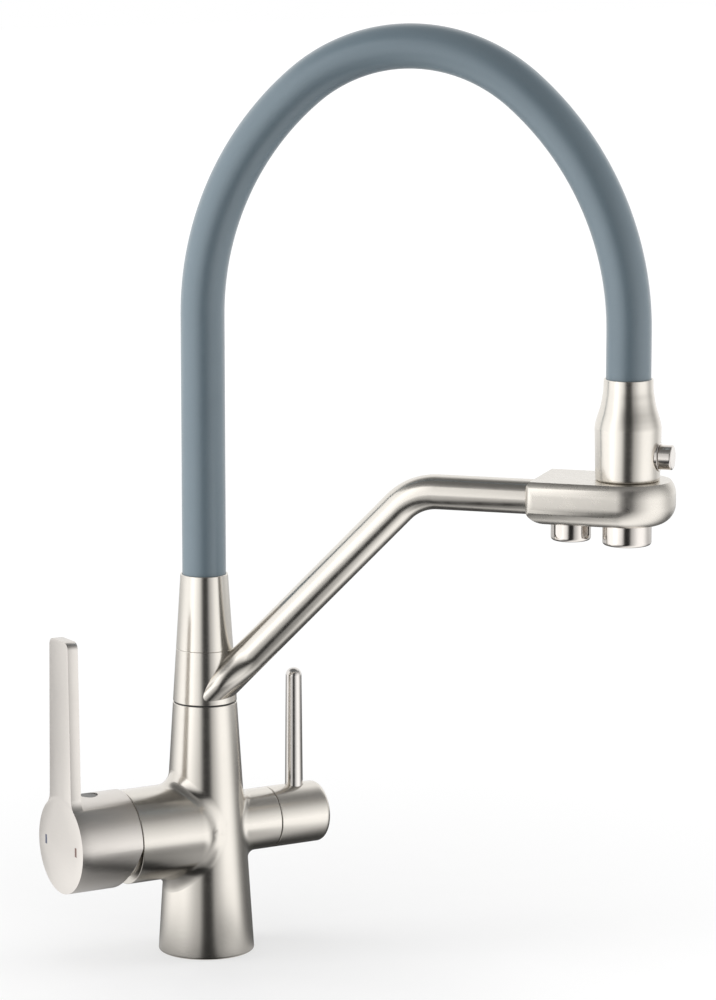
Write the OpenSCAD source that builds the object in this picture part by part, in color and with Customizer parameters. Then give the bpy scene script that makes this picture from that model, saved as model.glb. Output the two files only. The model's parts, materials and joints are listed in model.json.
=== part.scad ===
// Kitchen tap with a side mixer lever, a side lever for filtered water,
// a swivelling spout arm with two outlets, and an arched silicone hose.
// The origin is the centre of the base on the deck. +Z is up, +X runs along the
// valve axis to the filtered-water knob, and -Y faces the user.

/* [Column] */
// Radius of the base on the deck
base_r = 26; // [24:0.5:29]
// Rounding of the base's lower edge
base_edge_r = 1.2; // [0.5:0.1:2]
// Height of the cast body, up to the swivel seam
body_h = 137.4; // [130:0.2:142]
// Height of the swivel collar above the seam
collar_h = 29.4; // [28:0.2:31]
// Height of the hose cone above the collar
cone_h = 40.6; // [38:0.2:46]
// Radius at the top of the hose cone
cone_top_r = 12.8; // [12.7:0.05:13.5]
// Height of the two valves' common axis
valve_z = 68.3; // [64:0.1:72]

/* [Base ports] */
// Radius of the brass insert that carries the inlets
insert_r = 19; // [18.6:0.1:19.3]
// Radius of an inlet hole, the tapping size of M10 x 1
inlet_r = 4.5; // [4.2:0.1:4.8]
// Depth of an inlet hole
inlet_depth = 14; // [10:1:20]
// Distance of the hot and cold inlets from the centre, towards the mixer
inlet_x = 10; // [9:0.5:11]
// Distance of the hot and cold inlets from the centre, to each side
inlet_y = 8; // [7:0.5:9]
// Distance of the filtered-water inlet from the centre
filtered_x = 9.5; // [9:0.5:10.5]
// Radius of a fixing stud's hole, the tapping size of M8
stud_r = 3.4; // [3.3:0.05:3.6]
// Depth of a fixing stud's hole
stud_depth = 18; // [12:1:22]
// Distance of the fixing studs from the centre, along X
stud_x = 4; // [2:0.5:5]
// Distance of the fixing studs from the centre, along Y
stud_y = 14; // [13.5:0.1:14.5]
// Radius of the drilled waterways
duct_r = 3; // [2:0.1:3.4]
// Inner radius of the base gasket
gasket_in_r = 20.5; // [20:0.1:21]
// Outer radius of the base gasket
gasket_out_r = 23.5; // [22.5:0.1:24]
// Depth of the base gasket's groove
gasket_h = 2; // [1:0.1:3]

/* [Mixer valve] */
// Radius of the mixer housing
mixer_r = 25.3; // [24:0.1:26]
// Distance from the column's axis to the housing's end
mixer_end = 50.8; // [48:0.2:54]
// Length over which the housing draws in to the column's front
mixer_blend_l = 10; // [7:0.5:13]
// Running gap between the housing and the lever's skirt
skirt_gap = 0.9; // [0.5:0.05:1.2]
// Outer radius of the lever's skirt
skirt_r = 26; // [25:0.1:27]
// Wall of the lever's skirt
skirt_wall = 3.4; // [3:0.1:3.6]
// Distance from the column's axis to the back of the lever's plate
plate_back = 81.5; // [80:0.5:86]
// Thickness of the lever's plate
plate_t = 6; // [4:0.25:8]
// Height of the blade's tip above the valve axis
blade_h = 111.4; // [80:0.5:130]
// Width of the blade where it leaves the disc
blade_root_w = 25; // [18:0.5:30]
// Width of the blade at its tip
blade_tip_w = 21.5; // [14:0.5:24]
// Radius of the blade's two tip corners
blade_corner_r = 4; // [1:0.5:6]
// Radius of the fillets between the disc and the blade
blade_fillet_r = 8; // [4:0.5:12]
// Largest outward tilt of the lever, in degrees
lever_tilt = 20; // [12:1:22]
// Distance from the column's axis to the lever's tilt axis
tilt_d = 45; // [44.5:0.25:45.5]
// Radius of the dome under the skirt
dome_r = 21.8; // [21.4:0.1:22]
// Wall of the dome
dome_wall = 1.6; // [1:0.1:2]
// Radius of the opening in the dome, for the stem
dome_hole_r = 12; // [11.5:0.1:13]
// Radius of the cartridge
cartridge_r = 17.5; // [17:0.1:17.8]
// Radius of the cartridge's neck
neck_r = 13; // [12.5:0.1:13.5]
// Radius of the threaded bore for the cartridge's nut
nut_bore_r = 21; // [20.8:0.1:21.4]
// Radius of the turning carrier in the cartridge
rotor_r = 10; // [9.5:0.1:10.4]
// Width of the stem, front to back
stem_w = 6; // [5:0.1:7]
// Depth of the stem, in its tilting direction
stem_t = 7; // [6:0.1:7.4]
// Radius of the stem's pivot pin
stem_pin_r = 1.5; // [1:0.1:1.8]
// Radius of the hub inside the skirt
hub_r = 8.5; // [7.5:0.1:9.5]
// Distance from the column's axis to the set screw and its cap
grub_d = 71; // [70.5:0.1:72]
// Radius of the lever's set screw
grub_r = 2.5; // [2:0.1:2.6]
// Radius of the cap over the set screw
cap_r = 4.8; // [4:0.1:5.5]
// Distance of the two temperature marks from the disc's centre
mark_y = 17.5; // [15:0.5:20]
// Width of a temperature mark
mark_w = 2; // [1:0.1:3]
// Height of a temperature mark
mark_h = 5; // [4:0.1:8]
// Depth of a temperature mark
mark_depth = 0.4; // [0.2:0.05:0.6]

/* [Filtered-water valve] */
// Radius of the filter housing and its knob
filter_r = 16.65; // [16:0.05:18]
// Distance from the column's axis to the housing's end
filter_end = 38.3; // [37:0.1:40]
// Running gap between the housing and the knob
knob_gap = 0.4; // [0.3:0.05:0.8]
// Length of the knob
knob_l = 30.8; // [28:0.2:34]
// Rounding of the knob's outer rim
knob_round_r = 3; // [1:0.25:4]
// Distance from the housing's end to the rod
rod_d = 16.7; // [14:0.1:18]
// Height of the rod's top above the valve axis
rod_top = 81.6; // [60:0.2:95]
// Radius of the rod at its foot
rod_foot_r = 4.9; // [4:0.05:5.2]
// Radius of the rod near its top
rod_tip_r = 4.3; // [3.5:0.05:4.6]
// Radius of the rod's threaded spigot
rod_spigot_r = 3; // [2.5:0.1:3.4]
// Radius of the headwork's cage
headwork_r = 9; // [8.6:0.1:9.6]
// Radius of the spindle
spindle_r = 4; // [3.6:0.1:4.4]
// Radius of the ceramic discs
disc_r = 7.5; // [7:0.1:7.6]
// Thickness of a ceramic disc
disc_t = 3; // [2.5:0.1:3.5]
// Radius of the knob's set screw
knob_grub_r = 2; // [1.5:0.1:2.2]

/* [Swivel] */
// Radius of the fixed swivel stem
swivel_r = 9.5; // [9:0.1:10]
// Radius of the stem's threaded foot
foot_r = 11; // [10.5:0.1:11.6]
// Length of the stem's threaded foot
foot_l = 22; // [16:1:26]
// Radius of the waterway in the stem
swivel_bore_r = 5.2; // [4.5:0.1:5.6]
// Radius of the stem's threaded top
swivel_top_r = 8; // [7.5:0.1:8.4]
// Thickness of the slip rings
slip_t = 0.6; // [0.4:0.05:1]
// Thickness of the retaining nut
nut_t = 6; // [4:0.5:8]
// Width across the flats of the retaining nut
nut_af = 21; // [20:0.5:21.5]
// Section radius of the swivel's O-rings
o_ring_r = 1; // [0.8:0.05:1.1]

/* [Arm] */
// Direction of the arm at rest, in degrees from the filter knob to the front
arm_turn = 48; // [0:1:90]
// Radius of the arm's tube
arm_r = 9.25; // [8.5:0.05:9.6]
// Radius of the arm's bore
arm_bore_r = 7.2; // [5.5:0.1:7.4]
// Rise of the sloping stretch, in degrees
arm_rise = 45.7; // [42:0.1:48]
// Height of the level stretch
arm_z = 258.2; // [250:0.2:275]
// Radius of the bend, at the tube's centre line
arm_bend_r = 30; // [24:1:40]
// Half width of the saddle where the arm leaves the collar
saddle_half_w = 16.2; // [12:0.1:16.6]
// Length of the saddle along the arm
saddle_l = 40; // [34:0.5:46]
// Length over which the saddle keeps its full width
saddle_full_l = 18; // [8:0.5:24]
// Distance from the column's axis to the bell's axis
reach = 232.7; // [215:0.1:260]

/* [Outlet block] */
// Height of the block
block_h = 23; // [21:0.25:26]
// Half width of the block, and the radius of its nose
block_half_w = 25.2; // [23:0.1:27]
// Distance from the bell's axis to the block's arm end
block_tail = 49; // [46:0.5:54]
// Radius of the block's curved shoulder, which meets the flat top at an edge
block_top_round = 11; // [8:0.25:12]
// Height of the shoulder
block_shoulder_h = 7; // [4:0.25:7.5]
// Rounding of the block's lower edges
block_low_round = 11; // [6:0.25:11.5]
// Rounding of the two upright edges at the arm end
block_side_round = 5; // [3:0.5:12]
// Radius of the mixed-water outlet
mixed_r = 12.8; // [12:0.1:14]
// How far the mixed-water outlet hangs below the block
mixed_drop = 11; // [8:0.25:14]
// Radius of the filtered-water outlet
pure_r = 10.5; // [10:0.1:11.5]
// How far the filtered-water outlet hangs below the block
pure_drop = 10; // [7:0.25:13]
// Width of the four wrench slots round the filtered-water outlet
wrench_slot_w = 5.2; // [3:0.1:6]
// Distance between the two outlets
outlet_gap = 30; // [27:0.25:31]
// Depth of the two outlets' sockets in the block
socket_depth = 6; // [4:0.25:8]
// Wall of the outlet housings
outlet_wall = 2.2; // [1.5:0.1:3]

/* [Bell] */
// Height of the bell
bell_h = 52.8; // [48:0.2:60]
// Radius of the bell's lower part
bell_r = 17.2; // [16.5:0.1:18.5]
// Radius of the bell's neck
bell_neck_r = 13; // [12.8:0.05:13.6]
// Height of the bell's straight lower part
bell_straight_h = 30; // [27:0.2:33]
// Height of the shoulder's lower, outward curve
shoulder_out_h = 8; // [6:0.25:9]
// Height of the shoulder's upper, inward curve
shoulder_in_h = 8; // [6:0.25:9]
// Radius of the bell's spigot in the block
bell_spigot_r = 10; // [9:0.1:10.5]
// Radius of the waterway through the bell
bell_bore_r = 5.5; // [4.5:0.1:6]
// Height of the diverter's axis above the block
diverter_h = 12.7; // [11.5:0.1:15]
// Radius of the diverter's knob
diverter_r = 6.5; // [5:0.1:7]
// Length of the diverter's knob
diverter_l = 6.7; // [5:0.1:10]
// Travel of the diverter's knob
diverter_travel = 5; // [3:0.25:5.2]
// Radius of the diverter's bush
bush_r = 7.5; // [7:0.1:8]
// Thickness of the bush's flange
bush_t = 1.6; // [1:0.1:2.5]
// Radius of the diverter's stem
diverter_stem_r = 2.5; // [2:0.1:2.8]

/* [Hose] */
// Outer radius of the silicone hose
hose_r = 11.75; // [11:0.05:11.75]
// Bore radius of the silicone hose
hose_bore_r = 7; // [6.8:0.1:8]
// Outer radius of the pressure hose inside it
inner_r = 6.5; // [5.5:0.1:6.6]
// Bore radius of the pressure hose
inner_bore_r = 4; // [3.8:0.1:4.4]
// Length of the hose's upright run above the bell
bell_run_l = 24.3; // [6:0.1:60]
// Radius of the crown's centre line
crown_r = 92; // [80:1:104]
// Half angle of the crown's arc, in degrees
crown_half = 40; // [30:1:46]
// Depth of the hose's sockets in the cone and the bell
hose_socket = 8; // [6:0.25:10]
// Length of a hose tail's nipple
nipple_l = 20; // [14:0.5:26]
// Radius of a hose tail's threaded body
tail_r = 8; // [7.5:0.1:8.4]
// Height of a hose tail's flange
tail_flange_t = 1.4; // [1:0.1:2]

/* [Hidden] */

$fn = 96;
// Facets of the children of a hull
hull_fn = 32;
// Overrun of every cut
cut = 1;
// Radial clearance of parts that turn or slide in each other
run_gap = 0.05;
// Clearance of parts that are screwed or pressed together
fit_gap = 0.05;
// Gap between flat faces that turn past each other
face_gap = 0.1;
// Lap of a tube's stretches over a bend's ends, and the bend's slimness
bend_lap = 0.5;
bend_step = 0.12;

// Column levels and its one straight taper
seam_gap = slip_t + face_gap;
collar_z = body_h + seam_gap;
cone_z = body_h + collar_h;
cone_top_z = cone_z + cone_h;
taper = (base_r - cone_top_r) / cone_top_z;
function column_r(z) = base_r - taper * z;
insert_cap_t = 4;
insert_h = stud_depth + insert_cap_t;

// The mixer housing's two blending arcs, which start a little inside the column's front
blend_sink = 0.3;
blend_foot_r = column_r(valve_z) - blend_sink;
blend_drop = mixer_r - blend_foot_r;
blend_arc_r = (pow(blend_drop, 2) + pow(mixer_blend_l, 2)) / (4 * blend_drop);
blend_arc = 2 * atan(blend_drop / mixer_blend_l);

// Cartridge, as distances outwards from the column's axis
pocket_d = 18;
base_t = 3.8;
fixed_t = 3;
moving_t = 3.5;
rotor_flange_t = 2.5;
rotor_flange_r = 12;
shoulder_d = 40;
cartridge_nut_t = 5;
cartridge_nut_notch = 4;
neck_l = 7;
base_d = pocket_d + fit_gap;
fixed_d = base_d + base_t;
fixed_r = 14.5;
moving_d = fixed_d + fixed_t + face_gap;
moving_r = 11.8;
rotor_d = moving_d + moving_t;
rotor_front = tilt_d + rotor_r + cut;
rotor_chamber_d = rotor_d + rotor_flange_t + face_gap;
cartridge_port_r = 2.6;
cartridge_port_pcr = 8;
dome_flange_l = 5.6;
stem_tail = 4;
slot_up = stem_t / 2 * cos(lever_tilt) + stem_tail * sin(lever_tilt) + fit_gap * 4;
stem_tip = 77;
hub_front = tilt_d + dome_r + face_gap * 4;
skirt_front = mixer_end + skirt_gap;
tilt_gap = 0.3;
cap_t = 1.6;
cap_sink = 0.5;

// Filtered-water headwork, as distances outwards from the column's axis
headwork_d = 12;
chamber_l = 8;
headwork_hex_t = 2.7;
headwork_hex_r = 9.6;
knob_d = filter_end + knob_gap;
knob_recess_l = 6;
knob_recess_r = 11;
spindle_tip = 58;
spindle_flange_r = 6.8;
rod_axis_d = filter_end + rod_d;
rod_seat = 15.2;
rod_spigot_l = 8.6;
port_share = 0.55;

// Swivel
stem_top_z = cone_z + slip_t + face_gap + nut_t + base_edge_r * 2;
stem_neck_z = cone_z - face_gap * 5;
groove_w = o_ring_r * 2.4;
groove_shares = [0.22, 0.82];
cavity_r = 12.5;
cavity_h = 15;

// Arm, in its own upright plane: s runs outwards from the column's axis
arm_root_z = body_h;
corner_s = (arm_z - arm_root_z) / tan(arm_rise);
slope_l = (arm_z - arm_root_z) / sin(arm_rise);
bend_back = arm_bend_r * tan(arm_rise / 2);
tail_s = reach - block_tail;
arm_spigot_l = 8;
arm_spigot_r = arm_bore_r + (arm_r - arm_bore_r) / 2;
collar_duct_r = 5;

// Outlet block and bell
block_low = arm_z - block_h / 2;
block_top = arm_z + block_h / 2;
bell_top = block_top + bell_h;
bell_spigot_l = 12;
pure_s = reach - outlet_gap;
block_duct_r = 4;
bush_in_r = 5.6;
bush_in_l = 5;
diverter_bore_r = 4.2;
poppet_r = 4;
poppet_t = 2.2;
diverter_seat = bell_r - bush_t;
diverter_o_r = 0.75;
wrench_slot_depth = 0.75;
wrench_slot_rim = 1.5;
wrench_slot_turn = -25;
aerator_t = 6;
aerator_hole_r = 0.9;
aerator_ring_shares = [0, 0.4, 0.8];
aerator_ring_counts = [1, 6, 12];
outlet_lip = 1.5;
outlet_round_r = 1.6;

// Hose route: an upright run, a wide arc, the crown's arc, and the same down again
lower_end_z = cone_top_z - hose_socket;
upper_end_z = bell_top - hose_socket;
tail_body_l = 13;
side_r = (reach / 2 - crown_r * sin(crown_half)) / (1 - sin(crown_half));
side_turn = 90 - crown_half;
crown_lap = bend_lap / crown_r * 180 / PI;
side_z = bell_top + bell_run_l;
crown_z = side_z + crown_r + (side_r - crown_r) * cos(crown_half);

// A disc with a round lower edge, from z = 0 up
module turned_foot(r, r_top, h, edge_r) {
    rotate_extrude() {
        difference() {
            polygon([[0, 0], [r, 0], [r_top, h], [0, h]]);
            translate([r - edge_r, -cut])
                square([edge_r + cut, edge_r + cut]);
        }
        translate([r - edge_r, edge_r])
            circle(edge_r);
    }
}

// A cylinder with its top edge rounded
module turned_knob(r, l, round_r) {
    rotate_extrude() {
        square([r, l - round_r]);
        square([r - round_r, l]);
        translate([r - round_r, l - round_r])
            intersection() {
                circle(round_r);
                square(round_r);
            }
    }
}

// A ring with a square section
module ring(r_in, r_out, h) {
    difference() {
        cylinder(r = r_out, h = h);
        translate([0, 0, -cut])
            cylinder(r = r_in, h = h + 2 * cut);
    }
}

// A ring with a round section
module o_ring(centre_r, section_r) {
    rotate_extrude()
        translate([centre_r, 0])
            circle(section_r, $fn = 24);
}

// Local +Z points outwards along the mixer valve, and local +X points up
module on_mixer_side() {
    translate([0, 0, valve_z])
        rotate([0, -90, 0])
            children();
}

// Local +Z points outwards along the filter valve, and local +X points up
module on_filter_side() {
    translate([0, 0, valve_z])
        rotate([0, 90, 0])
            rotate([0, 0, 180])
                children();
}

// Local +X runs along the arm at rest
module in_arm_plane() {
    rotate([0, 0, -arm_turn])
        children();
}

// Local +Z runs up the arm's sloping stretch, and local +Y points sideways
module along_arm_slope() {
    translate([0, 0, arm_root_z])
        rotate([0, 90 - arm_rise, 0])
            children();
}

// Local +Z runs outwards along the diverter
module on_diverter() {
    translate([reach, 0, block_top + diverter_h])
        rotate([0, 90, 0])
            children();
}

// Children at the hot, the cold and the filtered-water inlet
module at_inlets() {
    for (side = [-1, 1])
        translate([-inlet_x, side * inlet_y, 0])
            children();
    translate([filtered_x, 0, 0])
        children();
}

// Mixer housing, drawn in with two arcs to meet the column's front
module mixer_housing() {
    steps = 4;
    out_pts = [for (i = [0:steps])
        [blend_foot_r + blend_arc_r * (1 - cos(blend_arc * i / steps)),
         blend_arc_r * sin(blend_arc * i / steps)]];
    in_pts = [for (i = [steps - 1:-1:0])
        [mixer_r - blend_arc_r * (1 - cos(blend_arc * i / steps)),
         mixer_blend_l - blend_arc_r * sin(blend_arc * i / steps)]];
    rotate_extrude()
        polygon(concat([[0, 0]], out_pts, in_pts, [[mixer_r, mixer_end], [0, mixer_end]]));
}

// Cast brass body: tapered column, mixer housing and filter housing
module cast_body() {
    color("#b5aca4")
        difference() {
            union() {
                turned_foot(base_r, column_r(body_h), body_h, base_edge_r);
                on_mixer_side()
                    mixer_housing();
                on_filter_side()
                    cylinder(r = filter_r, h = filter_end);
            }
            translate([0, 0, -cut])
                cylinder(r = insert_r + fit_gap, h = insert_h + fit_gap + cut);
            at_inlets()
                cylinder(r = duct_r, h = valve_z);
            for (side = [-1, 1])
                translate([-inlet_x, side * inlet_y, valve_z])
                    rotate([0, -90, 0])
                        cylinder(r = duct_r, h = pocket_d - inlet_x + cut);
            translate([0, 0, -cut])
                ring(gasket_in_r - fit_gap, gasket_out_r + fit_gap, gasket_h + cut);
            on_mixer_side() {
                translate([0, 0, pocket_d])
                    cylinder(r = cartridge_r + fit_gap, h = mixer_end);
                translate([0, 0, shoulder_d])
                    cylinder(r = nut_bore_r, h = mixer_end);
                cylinder(r = duct_r, h = pocket_d + cut);
            }
            on_filter_side()
                translate([0, 0, headwork_d])
                    cylinder(r = headwork_r, h = filter_end);
            translate([0, 0, valve_z])
                cylinder(r = duct_r, h = body_h);
            translate([0, 0, body_h - foot_l])
                cylinder(r = foot_r, h = foot_l + cut);
        }
}

// Brass insert in the column's foot, with the three inlets and the studs' holes
module inlet_insert() {
    color("#c2a15a")
        difference() {
            cylinder(r = insert_r, h = insert_h);
            at_inlets() {
                translate([0, 0, -cut])
                    cylinder(r = inlet_r, h = inlet_depth + cut);
                cylinder(r = duct_r, h = insert_h + cut);
            }
            for (side = [-1, 1])
                translate([stud_x, side * stud_y, -cut])
                    cylinder(r = stud_r, h = stud_depth + cut);
        }
}

// Rubber seal between the base and the deck
module base_gasket() {
    color("#2b2b2b")
        ring(gasket_in_r, gasket_out_r, gasket_h);
}

// Fixed brass stem that the spout turns on
module swivel_stem() {
    color("#c2a15a")
        difference() {
            union() {
                translate([0, 0, body_h - foot_l])
                    cylinder(r = foot_r - fit_gap, h = foot_l);
                translate([0, 0, body_h])
                    cylinder(r = swivel_r, h = stem_neck_z - body_h);
                translate([0, 0, stem_neck_z])
                    cylinder(r = swivel_top_r, h = stem_top_z - stem_neck_z);
            }
            translate([0, 0, body_h - foot_l - cut])
                cylinder(r = swivel_bore_r, h = stem_top_z);
            for (share = groove_shares)
                translate([0, 0, body_h + share * collar_h - groove_w / 2])
                    ring(swivel_r - 2 * o_ring_r, swivel_r + cut, groove_w);
        }
}

// Seals between the stem and the collar
module swivel_o_rings() {
    color("#2b2b2b")
        for (share = groove_shares)
            translate([0, 0, body_h + share * collar_h])
                o_ring(swivel_r - o_ring_r, o_ring_r);
}

// Plastic ring that the collar turns on
module lower_slip_ring() {
    color("#3a3a3a")
        translate([0, 0, body_h])
            ring(swivel_r + run_gap, column_r(body_h) - slip_t, slip_t);
}

// Plastic ring between the collar and the nut
module upper_slip_ring() {
    color("#3a3a3a")
        translate([0, 0, cone_z + face_gap])
            ring(swivel_top_r + fit_gap, cavity_r - slip_t, slip_t);
}

// Nut that holds the collar on the stem
module stem_nut() {
    color("#c2a15a")
        translate([0, 0, cone_z + face_gap + slip_t])
            difference() {
                cylinder(d = nut_af / cos(30), h = nut_t, $fn = 6);
                translate([0, 0, -cut])
                    cylinder(r = swivel_top_r + fit_gap, h = nut_t + 2 * cut);
            }
}

// Three ports of the mixer cartridge
module cartridge_ports(h) {
    for (turn = [0, 120, 240])
        rotate([0, 0, turn])
            translate([-cartridge_port_pcr, 0, -cut])
                cylinder(r = cartridge_port_r, h = h + 2 * cut);
}

// Ported base of the mixer cartridge
module cartridge_base() {
    color("#e4e0d6")
        on_mixer_side()
            translate([0, 0, base_d])
                difference() {
                    cylinder(r = cartridge_r, h = base_t);
                    cartridge_ports(base_t);
                }
}

// Fixed ceramic disc of the mixer cartridge
module mixer_fixed_disc() {
    color("#f2f1ec")
        on_mixer_side()
            translate([0, 0, fixed_d])
                difference() {
                    cylinder(r = fixed_r, h = fixed_t);
                    cartridge_ports(fixed_t);
                }
}

// Moving ceramic disc, with the mixing chamber in its face
module mixer_moving_disc() {
    color("#dcdad2")
        on_mixer_side()
            translate([0, 0, moving_d])
                difference() {
                    cylinder(r = moving_r, h = moving_t);
                    translate([0, 0, -cut])
                        cylinder(r = cartridge_port_pcr, h = moving_t / 2 + cut);
                }
}

// Plastic shell of the mixer cartridge
module cartridge_shell() {
    color("#e4e0d6")
        on_mixer_side()
            difference() {
                union() {
                    translate([0, 0, fixed_d])
                        cylinder(r = cartridge_r, h = shoulder_d - fixed_d);
                    translate([0, 0, shoulder_d])
                        cylinder(r = neck_r, h = neck_l);
                }
                translate([0, 0, fixed_d - cut])
                    cylinder(r = fixed_r + fit_gap, h = fixed_t + cut);
                translate([0, 0, fixed_d])
                    cylinder(r = rotor_flange_r + run_gap, h = rotor_chamber_d - fixed_d);
                translate([0, 0, fixed_d])
                    cylinder(r = rotor_r, h = mixer_end);
            }
}

// Brass nut that clamps the cartridge in its pocket
module cartridge_nut() {
    color("#c2a15a")
        on_mixer_side()
            translate([0, 0, shoulder_d])
                difference() {
                    ring(neck_r + fit_gap, nut_bore_r - fit_gap, cartridge_nut_t);
                    for (turn = [0:60:300])
                        rotate([0, 0, turn])
                            translate([neck_r, -cartridge_nut_notch / 2, cartridge_nut_t / 2])
                                cube([cartridge_nut_notch, cartridge_nut_notch, cartridge_nut_t]);
                }
}

// Domed trim cap over the cartridge, centred on the lever's tilt axis
module dome_cover() {
    flange_d = mixer_end - dome_flange_l;
    color("#c9c3bd")
        on_mixer_side()
            difference() {
                union() {
                    intersection() {
                        translate([0, 0, tilt_d])
                            sphere(dome_r);
                        translate([0, 0, mixer_end])
                            cylinder(r = dome_r, h = dome_r);
                    }
                    translate([0, 0, flange_d])
                        cylinder(r = nut_bore_r - fit_gap, h = dome_flange_l + face_gap);
                }
                translate([0, 0, tilt_d])
                    sphere(dome_r - dome_wall);
                translate([0, 0, flange_d - cut])
                    cylinder(r = nut_bore_r - dome_wall, h = dome_flange_l + cut);
                cylinder(r = dome_hole_r, h = plate_back);
            }
}

// Carrier that turns in the cartridge and holds the stem's pin
module cartridge_rotor() {
    slot_low = rotor_r + cut;
    color("#d8cbb0")
        on_mixer_side()
            difference() {
                union() {
                    translate([0, 0, rotor_d])
                        cylinder(r = rotor_flange_r, h = rotor_flange_t);
                    translate([0, 0, rotor_d])
                        cylinder(r = rotor_r - run_gap, h = rotor_front - rotor_d);
                }
                translate([-slot_low, -stem_w / 2 - face_gap, tilt_d - stem_tail - cut])
                    cube([slot_low + slot_up, stem_w + 2 * face_gap, rotor_front]);
                translate([0, 0, tilt_d])
                    rotate([90, 0, 0])
                        cylinder(r = stem_pin_r, h = 2 * rotor_r + 2 * cut, center = true);
            }
}

// Steel pin that the stem tilts on
module stem_pin() {
    color("#b9bcc0")
        on_mixer_side()
            translate([0, 0, tilt_d])
                rotate([90, 0, 0])
                    cylinder(r = stem_pin_r - fit_gap / 2, h = 2 * (rotor_r - slip_t), center = true);
}

// Stem that joins the lever to the cartridge
module cartridge_stem() {
    color("#c8ccd0")
        on_mixer_side()
            difference() {
                translate([-stem_t / 2, -stem_w / 2, tilt_d - stem_tail])
                    cube([stem_t, stem_w, stem_tip - tilt_d + stem_tail]);
                translate([0, 0, tilt_d])
                    rotate([90, 0, 0])
                        cylinder(r = stem_pin_r + run_gap, h = stem_w + 2 * cut, center = true);
            }
}

// Outline of the lever's plate: a disc, two fillets and a tapering blade
module lever_outline() {
    fillet_y = blade_root_w / 2 + blade_fillet_r;
    fillet_x = sqrt(pow(skirt_r + blade_fillet_r, 2) - pow(fillet_y, 2));
    corner_y = blade_tip_w / 2 - blade_corner_r;
    circle(skirt_r);
    for (side = [-1, 1])
        difference() {
            polygon([[0, 0], [fillet_x, side * fillet_y], [fillet_x, 0]]);
            translate([fillet_x, side * fillet_y])
                circle(blade_fillet_r);
        }
    polygon([
        [fillet_x, -blade_root_w / 2],
        [blade_h - blade_corner_r, -blade_tip_w / 2],
        [blade_h - blade_corner_r, blade_tip_w / 2],
        [fillet_x, blade_root_w / 2]
    ]);
    translate([blade_h - 2 * blade_corner_r, -corner_y])
        square([2 * blade_corner_r, 2 * corner_y]);
    for (side = [-1, 1])
        translate([blade_h - blade_corner_r, side * corner_y])
            circle(blade_corner_r);
}

// Recess or filling of a temperature mark
module mark_pad(side, grow) {
    translate([0, side * mark_y, plate_back + plate_t - mark_depth])
        linear_extrude(mark_depth + grow)
            translate([-mark_h / 2, -mark_w / 2])
                square([mark_h, mark_w]);
}

// Mixer lever: skirt, disc, blade and the hub on the cartridge's stem
module mixer_lever() {
    color("#d5cdc6")
        on_mixer_side()
            difference() {
                union() {
                    translate([0, 0, plate_back])
                        linear_extrude(plate_t)
                            lever_outline();
                    translate([0, 0, skirt_front])
                        ring(skirt_r - skirt_wall, skirt_r, plate_back - skirt_front);
                    translate([0, 0, hub_front])
                        cylinder(r = hub_r, h = plate_back - hub_front);
                }
                translate([0, 0, tilt_d])
                    rotate([0, lever_tilt, 0])
                        translate([-skirt_r * 2, -skirt_r * 2, -skirt_r * 2])
                            cube([skirt_r * 4, skirt_r * 4, skirt_r * 2 + mixer_end + tilt_gap - tilt_d]);
                translate([-stem_t / 2 - fit_gap, -stem_w / 2 - fit_gap, hub_front - cut])
                    cube([stem_t + 2 * fit_gap, stem_w + 2 * fit_gap, stem_tip + fit_gap - hub_front + cut]);
                translate([0, 0, grub_d])
                    rotate([0, 90, 0]) {
                        cylinder(r = grub_r + fit_gap / 2, h = skirt_r);
                        translate([0, 0, hub_r + cut])
                            cylinder(r = cap_r + fit_gap, h = skirt_r);
                    }
                mark_pad(-1, cut);
                mark_pad(1, cut);
            }
}

// Set screw that clamps the lever on the stem
module lever_set_screw() {
    color("#6f7276")
        on_mixer_side()
            translate([stem_t / 2, 0, grub_d])
                rotate([0, 90, 0])
                    difference() {
                        cylinder(r = grub_r, h = hub_r - stem_t / 2);
                        translate([0, 0, grub_r])
                            cylinder(r = grub_r / 2, h = hub_r, $fn = 6);
                    }
}

// Plastic cap that closes the set screw's hole in the skirt
module lever_screw_cap() {
    color("#77736f")
        on_mixer_side()
            translate([skirt_r - cap_sink - cap_t, 0, grub_d])
                rotate([0, 90, 0])
                    cylinder(r = cap_r, h = cap_t);
}

// Mark for hot water
module hot_mark() {
    color("#7d4a45")
        on_mixer_side()
            mark_pad(-1, 0);
}

// Mark for cold water
module cold_mark() {
    color("#4c5a70")
        on_mixer_side()
            mark_pad(1, 0);
}

// Brass cage of the quarter-turn filter valve
module headwork_body() {
    color("#c2a15a")
        on_filter_side()
            difference() {
                union() {
                    translate([0, 0, headwork_d + fit_gap])
                        cylinder(r = headwork_r - fit_gap, h = filter_end - headwork_d);
                    translate([0, 0, filter_end])
                        cylinder(r = headwork_hex_r, h = headwork_hex_t, $fn = 6);
                }
                translate([0, 0, headwork_d])
                    cylinder(r = disc_r + run_gap, h = chamber_l);
                translate([0, 0, headwork_d])
                    cylinder(r = spindle_r + run_gap, h = filter_end);
            }
}

// A ceramic disc with two opposite waterways
module ceramic_disc() {
    difference() {
        cylinder(r = disc_r, h = disc_t);
        for (side = [-1, 1])
            translate([side * disc_r * port_share, 0, -cut])
                cylinder(r = disc_r * port_share / 2, h = disc_t + 2 * cut);
    }
}

// Fixed disc of the filter valve
module filter_fixed_disc() {
    color("#f2f1ec")
        on_filter_side()
            translate([0, 0, headwork_d + fit_gap])
                rotate([0, 0, 90])
                    ceramic_disc();
}

// Turning disc of the filter valve, a quarter turn from open
module filter_moving_disc() {
    color("#dcdad2")
        on_filter_side()
            translate([0, 0, headwork_d + fit_gap + disc_t + face_gap])
                ceramic_disc();
}

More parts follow.
